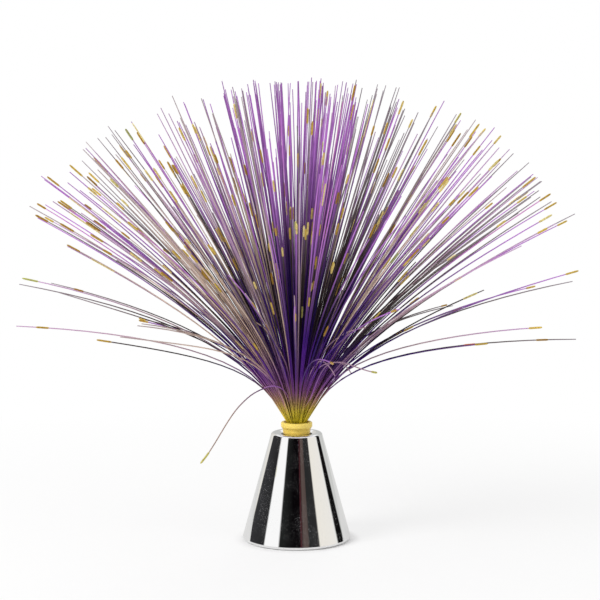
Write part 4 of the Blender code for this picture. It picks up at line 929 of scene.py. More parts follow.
def turned(name: str, outline: Sequence[Point], steps: int, finish: Finish) -> Piece:
    """Spins an outline of (radius, height) points round Z into a closed piece.

    Args:
        name: the piece's name.
        outline: its outline, anticlockwise from its lowest inner point; points on the axis close it.
        steps: how many steps go round.
        finish: its finish.

    Returns:
        The new object.
    """
    angles = np.arange(steps) * (math.tau / steps)
    points, rings = [], []
    for radius, height in outline:
        if radius < TINY:
            rings.append([len(points)] * steps)
            points.append((0.0, 0.0, height))
        else:
            rings.append(list(range(len(points), len(points) + steps)))
            points += [(radius * math.cos(a), radius * math.sin(a), height) for a in angles]
    faces = []
    for low, high in zip(rings, rings[1:] + rings[:1]):
        if low[0] == low[1] and high[0] == high[1]:
            continue
        for i in range(steps):
            n = (i + 1) % steps
            faces.append(list(dict.fromkeys((low[i], low[n], high[n], high[i]))))
    return place_mesh(name, points, faces, [finish])


def tube_faces(rings: int, sides: int, start: int = 0) -> list[list[int]]:
    """Faces of a tube with closed ends.

    Args:
        rings: how many rings of vertices it has.
        sides: how many vertices each ring has.
        start: the number of its first vertex.

    Returns:
        The faces, as rows of vertex numbers.
    """
    faces = []
    for low in range(start, start + (rings - 1) * sides, sides):
        for k in range(sides):
            n = (k + 1) % sides
            faces.append([low + k, low + n, low + sides + n, low + sides + k])
    end = start + rings * sides
    return faces + [list(range(start, start + sides))[::-1], list(range(end - sides, end))]


def swept(name: str, line: Sequence[Vector], radius: float, sides: int, finish: Finish) -> Piece:
    """A round bar along a line, with closed ends.

    Args:
        name: the piece's name.
        line: the points of its middle.
        radius: the bar's radius.
        sides: how many sides it has.
        finish: its finish.

    Returns:
        The new object.
    """
    side = Vector(SWEEP_SIDE)
    points = []
    for i, here in enumerate(line):
        along = (line[min(i + 1, len(line) - 1)] - line[max(i - 1, 0)]).normalized()
        side = (side - along * side.dot(along)).normalized()
        across = along.cross(side)
        for k in range(sides):
            angle = math.tau * k / sides
            points.append(here + (side * math.cos(angle) + across * math.sin(angle)) * radius)
    return place_mesh(name, points, tube_faces(len(line), sides), [finish])


def store(mesh: bpy.types.Mesh, name: str, values: Sequence[float]) -> None:
    """Stores one value at each vertex, for a finish to read."""
    stored = mesh.attributes.new(name, "FLOAT", "POINT")
    stored.data.foreach_set("value", np.asarray(values, dtype=np.float32))


def join(target: Piece, parts: Sequence[Piece]) -> None:
    """Adds parts to the target's mesh, as more bodies of the same piece.

    Args:
        target: the piece that they join.
        parts: the parts, which are used up.
    """
    merged = bmesh.new()
    for each in (target, *parts):
        merged.from_mesh(each.data)
    merged.to_mesh(target.data)
    merged.free()
    for part in parts:
        bpy.data.objects.remove(part)


def settle(piece: Piece, body: str, slot: str, *nodes: str) -> Piece:
    """Puts a piece on its body and hides the CAD nodes that it stands for.

    Args:
        piece: the piece.
        body: the CAD body that it rides on.
        slot: the record's material slot; not used.
        nodes: the CAD nodes that it replaces.

    Returns:
        The piece.
    """
    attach(piece, body)
    if nodes:
        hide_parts(*nodes)
    return piece


def dress(frame: dict, finish: Finish, *nodes: str, soften: float = 0.12 * MM) -> None:
    """Gives CAD nodes a finish and rounds their edges a little.

    Args:
        frame: the loaded frame.
        finish: the finish.
        nodes: the nodes' names.
        soften: the width of the rounding, or 0 for none.
    """
    for name in nodes:
        node = frame["nodes"][name]
        node.data.materials.clear()
        node.data.materials.append(finish.build())
        node.data.shade_smooth()
        weld = node.modifiers.new("weld", "WELD")
        weld.merge_threshold = TINY
        if soften:
            edge = node.modifiers.new("edge", "BEVEL")
            edge.width = soften
            edge.segments = 2
            edge.limit_method = "ANGLE"
            edge.angle_limit = SMOOTH_ANGLE
            edge.harden_normals = True


@dataclass
class Cone:
    """The drawn and plated cone."""

    foot_radius: float = 38.4 * MM
    top_radius: float = 17.9 * MM
    stand: float = 0.4 * MM
    height: float = 76.6 * MM
    wall: float = 0.8 * MM
    shoulder: float = 2.2 * MM
    hem: float = 1.7 * MM
    hem_rise: float = 3.6 * MM
    lip: float = 3.4 * MM
    hole: float = 10.4 * MM
    land: float = 1.4 * MM
    seat: float = 11.35 * MM
    seat_depth: float = 2.0 * MM
    steps: int = 256
    arc_steps: int = 12
    dish_steps: int = 16

    def outline(self) -> list[Point]:
        """The cone's section: top, shoulder, side, hem and lip, and the same a wall further in.

        Returns:
            The section's points.
        """
        top = self.stand + self.height
        tilt = math.degrees(math.atan((self.foot_radius - self.top_radius) / self.height))
        reach = self.shoulder * math.tan(math.radians(90.0 - tilt) / 2)
        shoulder = (self.top_radius - reach, top - self.shoulder)
        hem = (self.foot_radius - self.hem, self.stand + self.hem)
        inner = self.foot_radius - 2 * self.hem
        lip_height = self.stand + self.hem_rise
        dish, floor = self.top_radius - reach - self.land, top - self.seat_depth
        path = [(self.hole, floor)]
        for i in range(self.dish_steps + 1):
            share = i / self.dish_steps
            rise = (1 - math.cos(math.pi * share)) / 2
            path.append((self.seat + (dish - self.seat) * share, floor + self.seat_depth * rise))
        path += arc(shoulder, self.shoulder, 90.0, tilt, self.arc_steps)
        path += arc(hem, self.hem, tilt, -180.0, 2 * self.arc_steps)
        path += [(inner, lip_height), (inner - self.lip, lip_height)]
        return path + offset_path(path, self.wall)[::-1]

    def build(self) -> Piece:
        """The plated cone in place of its CAD node."""
        shell = turned("cone_plated", self.outline()[::-1], self.steps, CHROME)
        return settle(shell, "base", "chrome", "cone_shell")


@dataclass
class SocketSleeve:
    """The sleeve in the cone's top, with the nut and bracket that hold it."""

    bore: float = 9.25 * MM
    wall: float = 0.85 * MM
    rim: float = 0.95 * MM
    rim_height: float = 0.6 * MM
    top: float = 75.9 * MM
    foot: float = 58.5 * MM
    ledge: float = 1.3 * MM
    ledge_height: float = 1.2 * MM
    fillet: float = 0.15 * MM
    steps: int = 128

    def build(self, frame: dict) -> Piece:
        """The sleeve with a softened rim, and finishes for its nut and bracket.

        Args:
            frame: the loaded frame.

        Returns:
            The sleeve.
        """
        outer = self.bore + self.wall
        inner = self.bore - self.ledge
        corners = [
            (inner, self.foot, 0.0), (outer, self.foot, 0.0), (outer, self.top - self.rim_height, 0.0),
            (outer + self.rim, self.top - self.rim_height, self.fillet),
            (outer + self.rim, self.top, 2 * self.fillet), (self.bore, self.top, 2 * self.fillet),
            (self.bore, self.foot + self.ledge_height, 0.0),
            (inner, self.foot + self.ledge_height, self.fillet),
        ]
        dress(frame, BLACK, "ring_nut")
        dress(frame, WHITE, "socket_bracket", "led_reflector")
        sleeve = turned("sleeve_black", filleted(corners), self.steps, BLACK)
        return settle(sleeve, "base", "black_plastic", "socket_sleeve")


@dataclass
class Collar:
    """The yellow plug round the bundle and its grip ring."""

    foot: float = 60.4 * MM
    seat: float = 76.2 * MM
    bore: float = 7.45 * MM
    spigot: float = 8.95 * MM
    body: float = 9.8 * MM
    body_height: float = 5.0 * MM
    flange: float = 11.15 * MM
    flange_height: float = 3.2 * MM
    flare: float = 1.6 * MM
    flare_depth: float = 5.0 * MM
    groove_rise: float = 4.0 * MM
    groove_height: float = 1.6 * MM
    groove_depth: float = 0.8 * MM
    ring_gap: float = 0.12 * MM
    sleeve_bore: float = 9.25 * MM
    fillets: Place = (0.12 * MM, 0.3 * MM, 1.3 * MM)
    cove: float = 1.9 * MM
    cove_rise: float = 0.1 * MM
    cove_fillet: float = 2.4
    corner_steps: int = 7
    steps: int = 128
    ring_steps: int = 18

    def corners(self) -> list[Place]:
        """(radius, height, fillet) of the plug's section.

        Returns:
            One row a corner.
        """
        groove = self.foot + self.groove_rise
        body_top = self.seat + self.body_height
        top = body_top + self.flange_height
        small, soft, round_ = self.fillets
        inner = self.spigot - self.groove_depth
        return [
            (self.bore, self.foot, 0.0), (self.spigot, self.foot, soft), (self.spigot, groove, small),
            (inner, groove, small), (inner, groove + self.groove_height, small),
            (self.spigot, groove + self.groove_height, small), (self.spigot, self.seat, 0.0),
            (self.body, self.seat, soft), (self.body, body_top - self.cove, self.cove_fillet * round_),
            (self.flange, body_top - self.cove_rise, round_), (self.flange, top, round_),
            (self.bore + self.flare, top, soft), (self.bore, top - self.flare_depth, soft),
        ]

    def build(self) -> list[Piece]:
        """The plug and its ring.

        Returns:
            Both pieces.
        """
        section = filleted(self.corners(), self.corner_steps)
        plug = turned("collar_moulding", section, self.steps, COLLAR_PLASTIC)
        settle(plug, "spray", "collar_yellow", "collar")
        low = self.foot + self.groove_rise + self.ring_gap
        high = low + self.groove_height - 2 * self.ring_gap
        inner = self.spigot - self.groove_depth + self.ring_gap
        outer = self.sleeve_bore - self.ring_gap
        wide, tall = (outer - inner) / 2, (high - low) / 2
        angles = np.arange(self.ring_steps) * (math.tau / self.ring_steps)
        outline = [(inner + wide * (1 + math.cos(a)), low + tall * (1 + math.sin(a))) for a in angles]
        ring = turned("ring_moulded", outline, self.steps, RING_RUBBER)
        settle(ring, "grip_ring", "ring_rubber", "grip_ring")
        return [plug, ring]


@dataclass
class LightUnit:
    """The light board, its dome lamps and the parts below it."""

    def build(self, frame: dict) -> None:
        """Finishes for the CAD nodes of the board.

        Args:
            frame: the loaded frame.
        """
        dress(frame, CARD, "led_board")
        dress(frame, LENS, "led_1", "led_2", "led_3", soften=0.0)
        dress(frame, CHIP, "controller_chip", "resistor_1", "resistor_2", "resistor_3", soften=FINE_EDGE)
        dress(frame, CAN, "capacitor", soften=0.0)
        dress(frame, STEEL, "board_screw_1", "board_screw_2", soften=FINE_EDGE)


@dataclass
class Foot:
    """One rubber foot, with a turned ring in its sole."""

    radius: float = 3.1 * MM
    top: float = 2.4 * MM
    fillet: float = 0.4 * MM
    ring: float = 1.9 * MM
    ring_depth: float = 0.15 * MM
    steps: int = 48

    def build(self, number: int, place: Point) -> Piece:
        """The foot in place of its CAD node.

        Args:
            number: 1 to 4.
            place: the middle of its node.

        Returns:
            The piece.
        """
        corners = [
            (0.0, 0.0, 0.0),
            (self.ring - self.ring_depth, 0.0, 0.0),
            (self.ring, self.ring_depth, 0.0),
            (self.ring + self.ring_depth, 0.0, 0.0),
            (self.radius, 0.0, self.fillet),
            (self.radius, self.top, self.ring_depth),
            (0.0, self.top, 0.0),
        ]
        pad = turned(f"foot_pad_{number}", filleted(corners), self.steps, RUBBER)
        pad.data.transform(Matrix.Translation((*place, 0.0)))
        return settle(pad, "base", "foot_rubber", f"foot_{number}")


@dataclass
class Cell:
    """One AAA cell: a steel can with a nub, in a shrunk wrap."""

    radius: float = 5.25 * MM
    length: float = 43.3 * MM
    nub_radius: float = 1.9 * MM
    nub_length: float = 1.2 * MM
    wrap: float = 0.2 * MM
    rolled: float = 0.7 * MM
    pitch: float = 10.9 * MM
    axis: float = 9.65 * MM
    nose: float = 23.4 * MM
    steps: int = 64

    def lane(self, number: int) -> Matrix:
        """The move that puts a cell in its lane, the middle one facing the other way.

        Args:
            number: 1 to 3.

        Returns:
            The move.
        """
        facing = 1 if number == 2 else -1
        start = facing * (self.nose - self.length - self.nub_length)
        move = Matrix.Translation((start, (number - 2) * self.pitch, self.axis))
        return move @ Matrix.Rotation(facing * math.pi / 2, 4, "Y")

    def build(self, number: int) -> list[Piece]:
        """The wrap and the can of one cell.

        Args:
            number: 1 to 3.

        Returns:
            Both pieces.
        """
        skin, top = self.radius - self.wrap, self.length
        roll = skin - self.rolled
        wrap = [
            (roll, 0.0, 0.0), (self.radius, 0.0, 2 * self.wrap), (self.radius, top, 2 * self.wrap),
            (roll, top, 0.0), (roll, top - self.wrap, 0.0), (skin, top - self.wrap, 0.0),
            (skin, self.wrap, 0.0), (roll, self.wrap, 0.0),
        ]
        can_low, can_high = 1.2 * self.wrap, top - 1.2 * self.wrap
        boss = 2 * self.nub_radius
        can = [
            (0.0, 0.0, 0.0), (boss - self.wrap, 0.0, self.wrap), (boss, can_low, self.wrap),
            (skin - self.wrap / 10, can_low, self.wrap), (skin - self.wrap / 10, can_high, self.wrap),
            (self.nub_radius + 4 * self.wrap, can_high, self.wrap),
            (self.nub_radius + self.wrap, top - self.wrap / 2, self.wrap),
            (self.nub_radius, top, self.wrap), (self.nub_radius, top + self.nub_length, 1.5 * self.wrap),
            (0.0, top + self.nub_length, 0.0),
        ]
        pieces = []
        for name, outline, finish in (("wrap", wrap, SLEEVE), ("can", can, NICKEL)):
            piece = turned(f"cell_{number}_{name}", filleted(outline), self.steps, finish)
            heights = [vertex.co.z for vertex in piece.data.vertices]
            store(piece.data, "along", [top - height for height in heights])
            piece.data.transform(self.lane(number))
            pieces.append(piece)
        settle(pieces[0], "base", "cell_sleeve", f"battery_{number}")
        settle(pieces[1], "base", "nickel")
        return pieces


@dataclass
class Contact:
    """A stamped contact: a plate, its soldering tab, and a spring or a dimple for each cell it meets."""

    name: str
    end: int
    lanes: tuple[int, ...]
    tab_lane: int
    spring_lane: int | None
    plate_x: float = 23.9 * MM
    thickness: float = 0.4 * MM
    height: float = 8.8 * MM
    half_width: float = 4.55 * MM
    tab_width: float = 3.0 * MM
    tab_top: float = 19.7 * MM
    corner: float = 0.9 * MM
    dimple: float = 1.3 * MM
    dimple_rise: float = 0.22 * MM
    wall_x: float = 23.7 * MM
    wire: float = 0.3 * MM
    spring_base: float = 3.6 * MM
    spring_tip: float = 2.3 * MM
    spring_length: float = 2.6 * MM
    turns: float = 2.75
    open_turns: int = 2
    closing: float = 2.4
    turn_points: int = 24
    wire_sides: int = 10
    dimple_steps: int = 24
    cell: Cell = field(default_factory=Cell)

    def sheet(self) -> tuple[list[Vector], list[list[int]]]:
        """The plate and its tab as one rounded sheet.

        Returns:
            Its vertices and faces.
        """
        low, high = self.cell.axis - self.height / 2, self.cell.axis + self.height / 2
        left = self.lanes[0] * self.cell.pitch - self.half_width
        right = self.lanes[-1] * self.cell.pitch + self.half_width
        tab = self.tab_lane * self.cell.pitch
        near, far = tab - self.tab_width / 2, tab + self.tab_width / 2
        corners = [
            (left, low, self.corner), (right, low, self.corner), (right, high, self.corner),
            (far, high, self.corner / 2), (far, self.tab_top, self.corner),
            (near, self.tab_top, self.corner), (near, high, self.corner / 2), (left, high, self.corner),
        ]
        outline = filleted(corners)
        middle, half = self.end * self.plate_x, self.thickness / 2
        points = [Vector((middle + side * half, y, z)) for side in (-1, 1) for y, z in outline]
        count = len(outline)
        faces = [list(range(count))[::-1], list(range(count, 2 * count))]
        faces += [[i, (i + 1) % count, count + (i + 1) % count, count + i] for i in range(count)]
        return points, faces

    def spring_line(self) -> list[Vector]:
        """The spring's wire, wound from its plate towards the cell and closed by a flat turn.

        Returns:
            The points of its middle.
        """
        count = round(self.turns * self.turn_points)
        reach = self.spring_length - self.wire
        line = []
        for i in range(count + 1):
            turn = i / self.turn_points
            share = min(1.0, turn / self.open_turns)
            angle = math.tau * turn
            radius = self.spring_base + (self.spring_tip - self.spring_base) * share
            radius -= max(0.0, turn - self.open_turns) * self.closing * self.wire
            x = self.end * (self.wall_x - reach * share)
            y = self.spring_lane * self.cell.pitch + radius * math.cos(angle)
            line.append(Vector((x, y, self.cell.axis + radius * math.sin(angle))))
        return line

    def build(self) -> Piece:
        """The contact in place of its CAD node.

        Returns:
            The piece.
        """
        points, faces = self.sheet()
        plate = place_mesh(f"contact_sheet_{self.name}", points, faces, [NICKEL])
        parts = []
        if self.spring_lane is not None:
            parts.append(swept("coil", self.spring_line(), self.wire, self.wire_sides, NICKEL))
        for lane in self.lanes:
            if lane != self.spring_lane:
                rim, rise = self.dimple + self.dimple_rise, self.dimple_rise
                outline = [(0.0, 0.0), (rim, 0.0), (self.dimple, 0.8 * rise), (0.0, rise)]
                bump = turned("dimple", outline, self.dimple_steps, NICKEL)
                turn = Matrix.Rotation(-self.end * math.pi / 2, 4, "Y")
                place = (self.end * self.wall_x, lane * self.cell.pitch, self.cell.axis)
                bump.data.transform(Matrix.Translation(place) @ turn)
                parts.append(bump)
        join(plate, parts)
        return settle(plate, "base", "nickel", f"contact_{self.name}")


@dataclass
class Wiring:
    """Three hook-up wires, cells to board, cells to switch, and switch to board."""

    radius: float = 0.6 * MM
    sides: int = 12
    step: float = 1.2 * MM
    lift: float = 3.0 * MM
    hop: float = 4.0 * MM
    tab: Place = (23.9 * MM, 10.9 * MM, 20.0 * MM)
    pad: Place = (6.0 * MM, 6.0 * MM, 45.7 * MM)
    pins: Place = (10.4 * MM, 22.3 * MM, 12.4 * MM)
    tab_drop: float = 0.3 * MM
    pin_pitch: float = 2.6 * MM
    inner: float = 13.55 * MM
    pad_spread: float = 1.8
    red_inset: float = 0.8
    black_inset: float = 0.6
    black_swing: float = 0.4
    black_crest: float = 0.5
    black_rise: float = 1.5
    switch_inset: float = 0.85
    switch_drop: float = 0.9

    def routes(self) -> dict[str, list[Vector]]:
        """The knots of each wire.

        Returns:
            The knots by the wire's name.
        """
        up = Vector((0.0, 0.0, self.lift))
        front, pad, pins = Vector(self.tab), Vector(self.pad), Vector(self.pins)
        back = Vector((-front.x, -front.y, front.z))
        pitch = Vector((self.pin_pitch, 0.0, 0.0))
        first, second = pins - pitch, pins + pitch
        middle = (front.z - self.tab_drop + pad.z) / 2
        over = front.z - self.tab_drop + self.hop
        far = Vector((pad.x, pad.y * self.pad_spread, pad.z))
        return {
            "red": [
                front, front + up, Vector((front.x * self.red_inset, front.y, middle)), pad - up, pad,
            ],
            "black": [
                back, back + up,
                Vector((back.x * self.black_inset, -self.inner * self.black_swing, over)),
                Vector((0.0, self.inner * self.black_swing, over + self.hop * self.black_crest)),
                Vector((first.x, self.inner, over)), first + up * self.black_rise, first,
            ],
            "switch": [
                second, second + up,
                Vector((second.x, second.y * self.switch_inset, middle * self.switch_drop)),
                far - up, far,
            ],
        }

    def build(self) -> list[Piece]:
        """The wires in place of their CAD nodes.

        Returns:
            The pieces.
        """
        wires = []
        for name, knots in self.routes().items():
            finish, slot = (RED_WIRE, "wire_red") if name == "red" else (BLACK_WIRE, "wire_black")
            wire = swept(f"hookup_{name}", smooth_line(knots, self.step), self.radius, self.sides, finish)
            wires.append(settle(wire, "base", slot, f"wire_{name}"))
        return wires


@dataclass
class Base:
    """The bottom moulding with its switch, door, feet, cells, contacts and wires."""

    def build(self, frame: dict) -> list[Piece]:
        """Dresses the mouldings and builds what they carry.

        Args:
            frame: the loaded frame.

        Returns:
            The pieces built.
        """
        dress(frame, GRAPHITE, "base_plate", "battery_door")
        dress(frame, BLACK, "switch_housing")
        dress(frame, WHITE, "switch_lever", soften=FINE_EDGE)
        pieces = []
        for number in range(1, 5):
            low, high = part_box(f"foot_{number}")
            place = ((low[0] + high[0]) / 2, (low[1] + high[1]) / 2)
            pieces.append(Foot().build(number, place))
        for number in range(1, 4):
            pieces += Cell().build(number)
        contacts = (
            Contact("bridge_front", 1, (-1, 0), -1, -1),
            Contact("single_front", 1, (1,), 1, 1),
            Contact("bridge_back", -1, (0, 1), 0, 0),
            Contact("single_back", -1, (-1,), -1, None),
        )
        pieces += [contact.build() for contact in contacts]
        return pieces + Wiring().build()


class Dye(enum.Enum):
    """The looks of a dyed strand, as its shares of smoke and taupe."""

    VIOLET = (0.0, 0.0)
    SMOKE = (1.0, 0.0)
    TAUPE = (0.0, 1.0)
    MAUVE = (0.0, 0.5)


@dataclass
class Strand:
    """One strand: points along its middle, their distance from its foot, and its look."""

    line: np.ndarray
    along: np.ndarray
    dye: Dye
    tone: float
    golds: list[Place] = field(default_factory=list)

    def at(self, distance: float) -> np.ndarray:
        """The point a distance along the strand."""
        return np.array([np.interp(distance, self.along, self.line[:, axis]) for axis in range(3)])


class Bundle:
    """Collects tubes into one mesh, with what each vertex stores for its finish."""

    def __init__(self, sides: int) -> None:
        """An empty bundle of tubes with that many sides.

        Args:
            sides: how many sides each tube has.
        """
        self.sides = sides
        self.points: list[np.ndarray] = []
        self.faces: list[list[int]] = []
        self.stored: dict[str, list[np.ndarray]] = {}
        self.count = 0

    def add(self, line: np.ndarray, radii: np.ndarray, **stored: np.ndarray) -> None:
        """Adds a tube with closed ends.

        Args:
            line: its middle, one row a ring.
            radii: its radius at each ring.
            stored: a value for each ring, by attribute name.
        """
        along = np.gradient(line, axis=0)
        along /= np.linalg.norm(along, axis=1)[:, None]
        side = np.cross(along[0], TUBE_SIDE)
        turns = np.arange(self.sides) * math.tau / self.sides
        for i, here in enumerate(line):
            side = side - along[i] * side.dot(along[i])
            side /= np.linalg.norm(side)
            across = np.cross(along[i], side)
            ring = np.outer(np.cos(turns), side) + np.outer(np.sin(turns), across)
            self.points.append(here + ring * radii[i])
        self.faces += tube_faces(len(line), self.sides, self.count)
        for name, values in stored.items():
            self.stored.setdefault(name, []).append(np.repeat(values, self.sides))
        self.count += len(line) * self.sides

    def build(self, name: str, finish: Finish) -> Piece:
        """The bundle as one piece.

        Args:
            name: the piece's name.
            finish: its finish.

        Returns:
            The piece.
        """
        made = place_mesh(name, np.concatenate(self.points).tolist(), self.faces, [finish])
        for attribute, values in self.stored.items():
            store(made.data, attribute, np.concatenate(values))
        return made


@dataclass
class View:
    """The camera, set by the photograph's framing."""

    lens: float = 96.1
    across: float = 2.4 * MM
    distance: float = 1128.0 * MM
    height: float = 272.0 * MM
    pitch: float = 5.1
    sensor: float = 36.0
    reach: float = 20.0

    def build(self) -> None:
        """Sets up the camera."""
        data = bpy.data.cameras.new("view")
        data.lens = self.lens
        data.clip_end = self.reach
        camera = bpy.data.objects.new("view", data)
        camera.location = (self.across, -self.distance, self.height)
        camera.rotation_euler = (math.radians(90.0 - self.pitch), 0.0, 0.0)
        bpy.context.scene.collection.objects.link(camera)
        bpy.context.scene.camera = camera

    def place(self, right: float, down: float, lean: float, near: float) -> np.ndarray:
        """The point behind a spot of the picture, on an upright plane.

        Args:
            right: the spot's distance from the picture's left edge.
            down: its distance from the top edge.
            lean: how far the plane turns away with x, as depth over x.
            near: how far in front of the lamp's axis the plane is.

        Returns:
            The point.
        """
        focal = self.lens / self.sensor * FRAME_PIXELS
        across, up = (right - FRAME_PIXELS / 2) / focal, (FRAME_PIXELS / 2 - down) / focal
        dip, level = math.sin(math.radians(self.pitch)), math.cos(math.radians(self.pitch))
        ray = np.array([across, level + up * dip, up * level - dip])
        start = np.array([self.across, -self.distance, self.height])
        reach = (self.distance - near + lean * self.across) / (ray[1] - lean * ray[0])
        return start + ray * reach


# Spots that free strands pass, as pixels from the left and from the top of the frame.
LEFT_ARC = (
    (294, 412), (287, 399), (280, 390.5), (272, 387.3), (263.5, 388.7), (254.5, 393), (247.4, 398.2),
    (238.2, 407.4), (231, 417), (224.4, 427.3), (215, 443), (206.8, 455.6), (200.7, 463.2),
)
RIGHT_HOOK = (
    (303, 412), (308, 402), (311, 397), (316, 384), (321, 373), (326, 366), (333, 362.6), (341, 362.8),
    (347, 367.5), (351, 373),
)
RIGHT_ARC = (
    (303, 412), (306, 397), (311, 381), (317, 369.5), (324, 364.5), (332, 362.6), (341, 362.3), (349, 364.5),
    (358, 367.8), (368, 371), (377, 372.8),
)
RIGHT_LOOP = (
    (302.5, 409), (304.5, 394), (308, 380), (312.5, 369), (319, 361.4), (325, 362.6), (331, 369), (335, 376),
)
RIGHT_RISE = ((303, 405), (312, 375), (320, 360), (328, 346), (342.8, 334.4), (354, 330), (365.2, 327.5))
LEFT_RISE = (
    (293, 408), (291.5, 392), (288, 371), (283, 357), (276, 344), (268, 332), (261, 325.5), (255, 322),
)
BACK_ARC = ((291, 411), (289.5, 402), (286, 393), (280, 387.4), (272, 386), (264, 388))


@dataclass(frozen=True)
class FreeStrand:
    """A strand that stands out by itself, led through spots of the photograph's frame."""

    spots: tuple[Point, ...]
    lean: float
    near: float
    dye: Dye
    tone: float
    gold: float = 0.0
    gold_tone: float = 0.6


@dataclass(frozen=True)
class Seed:
    """Where a strand is rooted and how it runs."""

    root: Point
    lean: float
    azimuth: float
    length: float
    quota: float
    sector: int
    start: float
    bend: float
    tipped: bool = False
    stray: bool = False

    def sideways(self) -> float:
        """How far the strand leans to the right, in degrees."""
        lean = min(self.lean, FLATTEST)
        return math.degrees(math.atan2(math.sin(lean) * math.cos(self.azimuth), math.cos(lean)))


@dataclass
class Layout:
    """The part's own plan of its strands: rows round a core, their leans, lengths and strays.

    A row of strays holds its azimuth and lean in degrees, the length that it bends over, and its length.
    """

    length: float = 244.0 * MM
    reach: float = 198.0 * MM
    root_height: float = 82.1 * MM
    bundle: float = 7.3 * MM
    core: float = 2.9 * MM
    gap: float = 0.3 * MM
    margin: float = 0.33 * MM
    root_pitch: float = 0.68 * MM
    row_pitch: float = 0.59 * MM
    core_count: int = 24
    sectors: int = 8
    dense_share: float = 0.93
    dense_angle: float = math.radians(60.0)
    widest_angle: float = math.radians(84.0)
    reach_angle: float = math.radians(74.0)
    root_lean_share: float = 0.53
    bend_start: float = 20.0 * MM
    stray_start: float = 19.0 * MM
    bend_length: float = 60.0 * MM
    skirt_bend_share: float = 0.62
    sag: float = math.radians(9.0)
    wave: float = math.radians(4.4)
    waves: int = 9
    twist: float = 16.0
    tipped_share: float = 0.2
    reaching: int = 4
    short_shares: Point = (0.52, 0.96)
    full_shares: Point = (0.93, 1.0)
    seed: int = 11
    strays: tuple[tuple[float, float, float, float], ...] = (
        (210.0, 150.0, 17.0 * MM, 108.0 * MM),
        (296.0, 118.0, 30.0 * MM, 78.0 * MM),
        (322.0, 112.0, 36.0 * MM, 92.0 * MM),
        (95.0, 124.0, 34.0 * MM, 104.0 * MM),
    )

    def final_lean(self, quota: float) -> float:
        """A strand's lean at its end, from the share of strands inside it.

        Args:
            quota: that share.

        Returns:
            The lean in radians.
        """
        if quota <= self.dense_share:
            return math.acos(1 - quota / self.dense_share * (1 - math.cos(self.dense_angle)))
        beyond = (quota - self.dense_share) / (1 - self.dense_share)
        return self.dense_angle + beyond * (self.widest_angle - self.dense_angle)

    def bend(self, quota: float) -> float:
        """How far up a strand bends over: sooner in the skirt."""
        beyond = max(0.0, (quota - self.dense_share) / (1 - self.dense_share))
        return self.bend_length * (1 + beyond * (self.skirt_bend_share - 1))

    def roots(self) -> list[tuple[int, float, float, float]]:
        """(sector, radius, root azimuth, aimed azimuth) of every strand, from the middle out.

        Returns:
            One row a strand.
        """
        roots = []
        inner = self.core - self.gap / 2 - self.margin
        for i in range(self.core_count):
            azimuth = (i * GOLDEN_ANGLE) % math.tau
            roots.append((0, inner * math.sqrt((i + 0.5) / self.core_count), azimuth, azimuth))
        first, last = self.core + self.gap / 2 + self.margin, self.bundle - self.margin
        rows = int((last - first) / self.row_pitch) + 1
        slice_ = math.tau / self.sectors
        for row in range(rows):
            radius = first + (last - first) * row / (rows - 1)
            count = int((radius * slice_ - self.gap - 2 * self.margin) / self.root_pitch) + 1
            edge = (self.gap / 2 + self.margin) / radius
            for sector in range(self.sectors):
                for i in range(count):
                    even = (sector + (i + 0.5) / count) * slice_
                    drawn_in = sector * slice_ + edge + i / (count - 1) * (slice_ - 2 * edge)
                    roots.append((sector + 1, radius, drawn_in, even))
        return roots

    def quotas(self, roots: list[tuple[int, float, float, float]]) -> list[float]:
        """Each strand's place in the order of leans, well mixed within its row.

        Args:
            roots: a row for each strand, as roots gives them.

        Returns:
            A share from 0 to 1 for each.
        """
        radii = [root[1] for root in roots]
        quotas = []
        for i, radius in enumerate(radii):
            first, count = radii.index(radius), radii.count(radius)
            mixed = ((i - first) * GOLDEN_SHARE) % 1.0
            quotas.append((first + mixed * count + (0.5 if count == 1 else 0.0)) / len(roots))
        return quotas

    def seeds(self) -> list[Seed]:
        """Every strand of the part.

        Returns:
            How each runs.
        """
        chance = random.Random(self.seed)
        roots = self.roots()
        seeds = []
        for (sector, radius, start, even), quota in zip(roots, self.quotas(roots)):
            wave = self.wave * math.sin(self.waves * even + self.twist * quota)
            tipped = chance.random() < self.tipped_share
            length = self.length * chance.uniform(*(self.short_shares if tipped else self.full_shares))
            root = (radius * math.cos(start), radius * math.sin(start))
            lean, run = self.final_lean(quota), (self.bend_start, self.bend(quota))
            seeds.append(Seed(root, lean, even + wave, length, quota, sector, *run, tipped))
        outer = [i for i, seed in enumerate(seeds) if math.hypot(*seed.root) > self.bundle - 2 * self.margin]
        for azimuth, lean, bend, length in self.strays:
            aim = Vector((math.cos(math.radians(azimuth)), math.sin(math.radians(azimuth))))
            best = max(outer, key=lambda i: aim.dot(seeds[i].root))
            run = {"start": self.stray_start, "bend": bend, "length": length}
            seeds[best] = replace(seeds[best], lean=math.radians(lean), tipped=True, stray=True, **run)
        free = [i for i in outer if not seeds[i].stray]
        for azimuth in np.arange(self.reaching) * math.tau / self.reaching:
            aim = Vector((math.cos(azimuth), math.sin(azimuth)))
            best = max(free, key=lambda i: aim.dot(Vector(seeds[i].root).normalized()))
            turned_to = {"lean": self.reach_angle, "azimuth": azimuth, "length": self.length}
            seeds[best] = replace(seeds[best], tipped=False, **turned_to)
        tallest = min(range(len(seeds)), key=lambda i: seeds[i].lean)
        seeds[tallest] = replace(seeds[tallest], length=self.length, tipped=False)
        return seeds


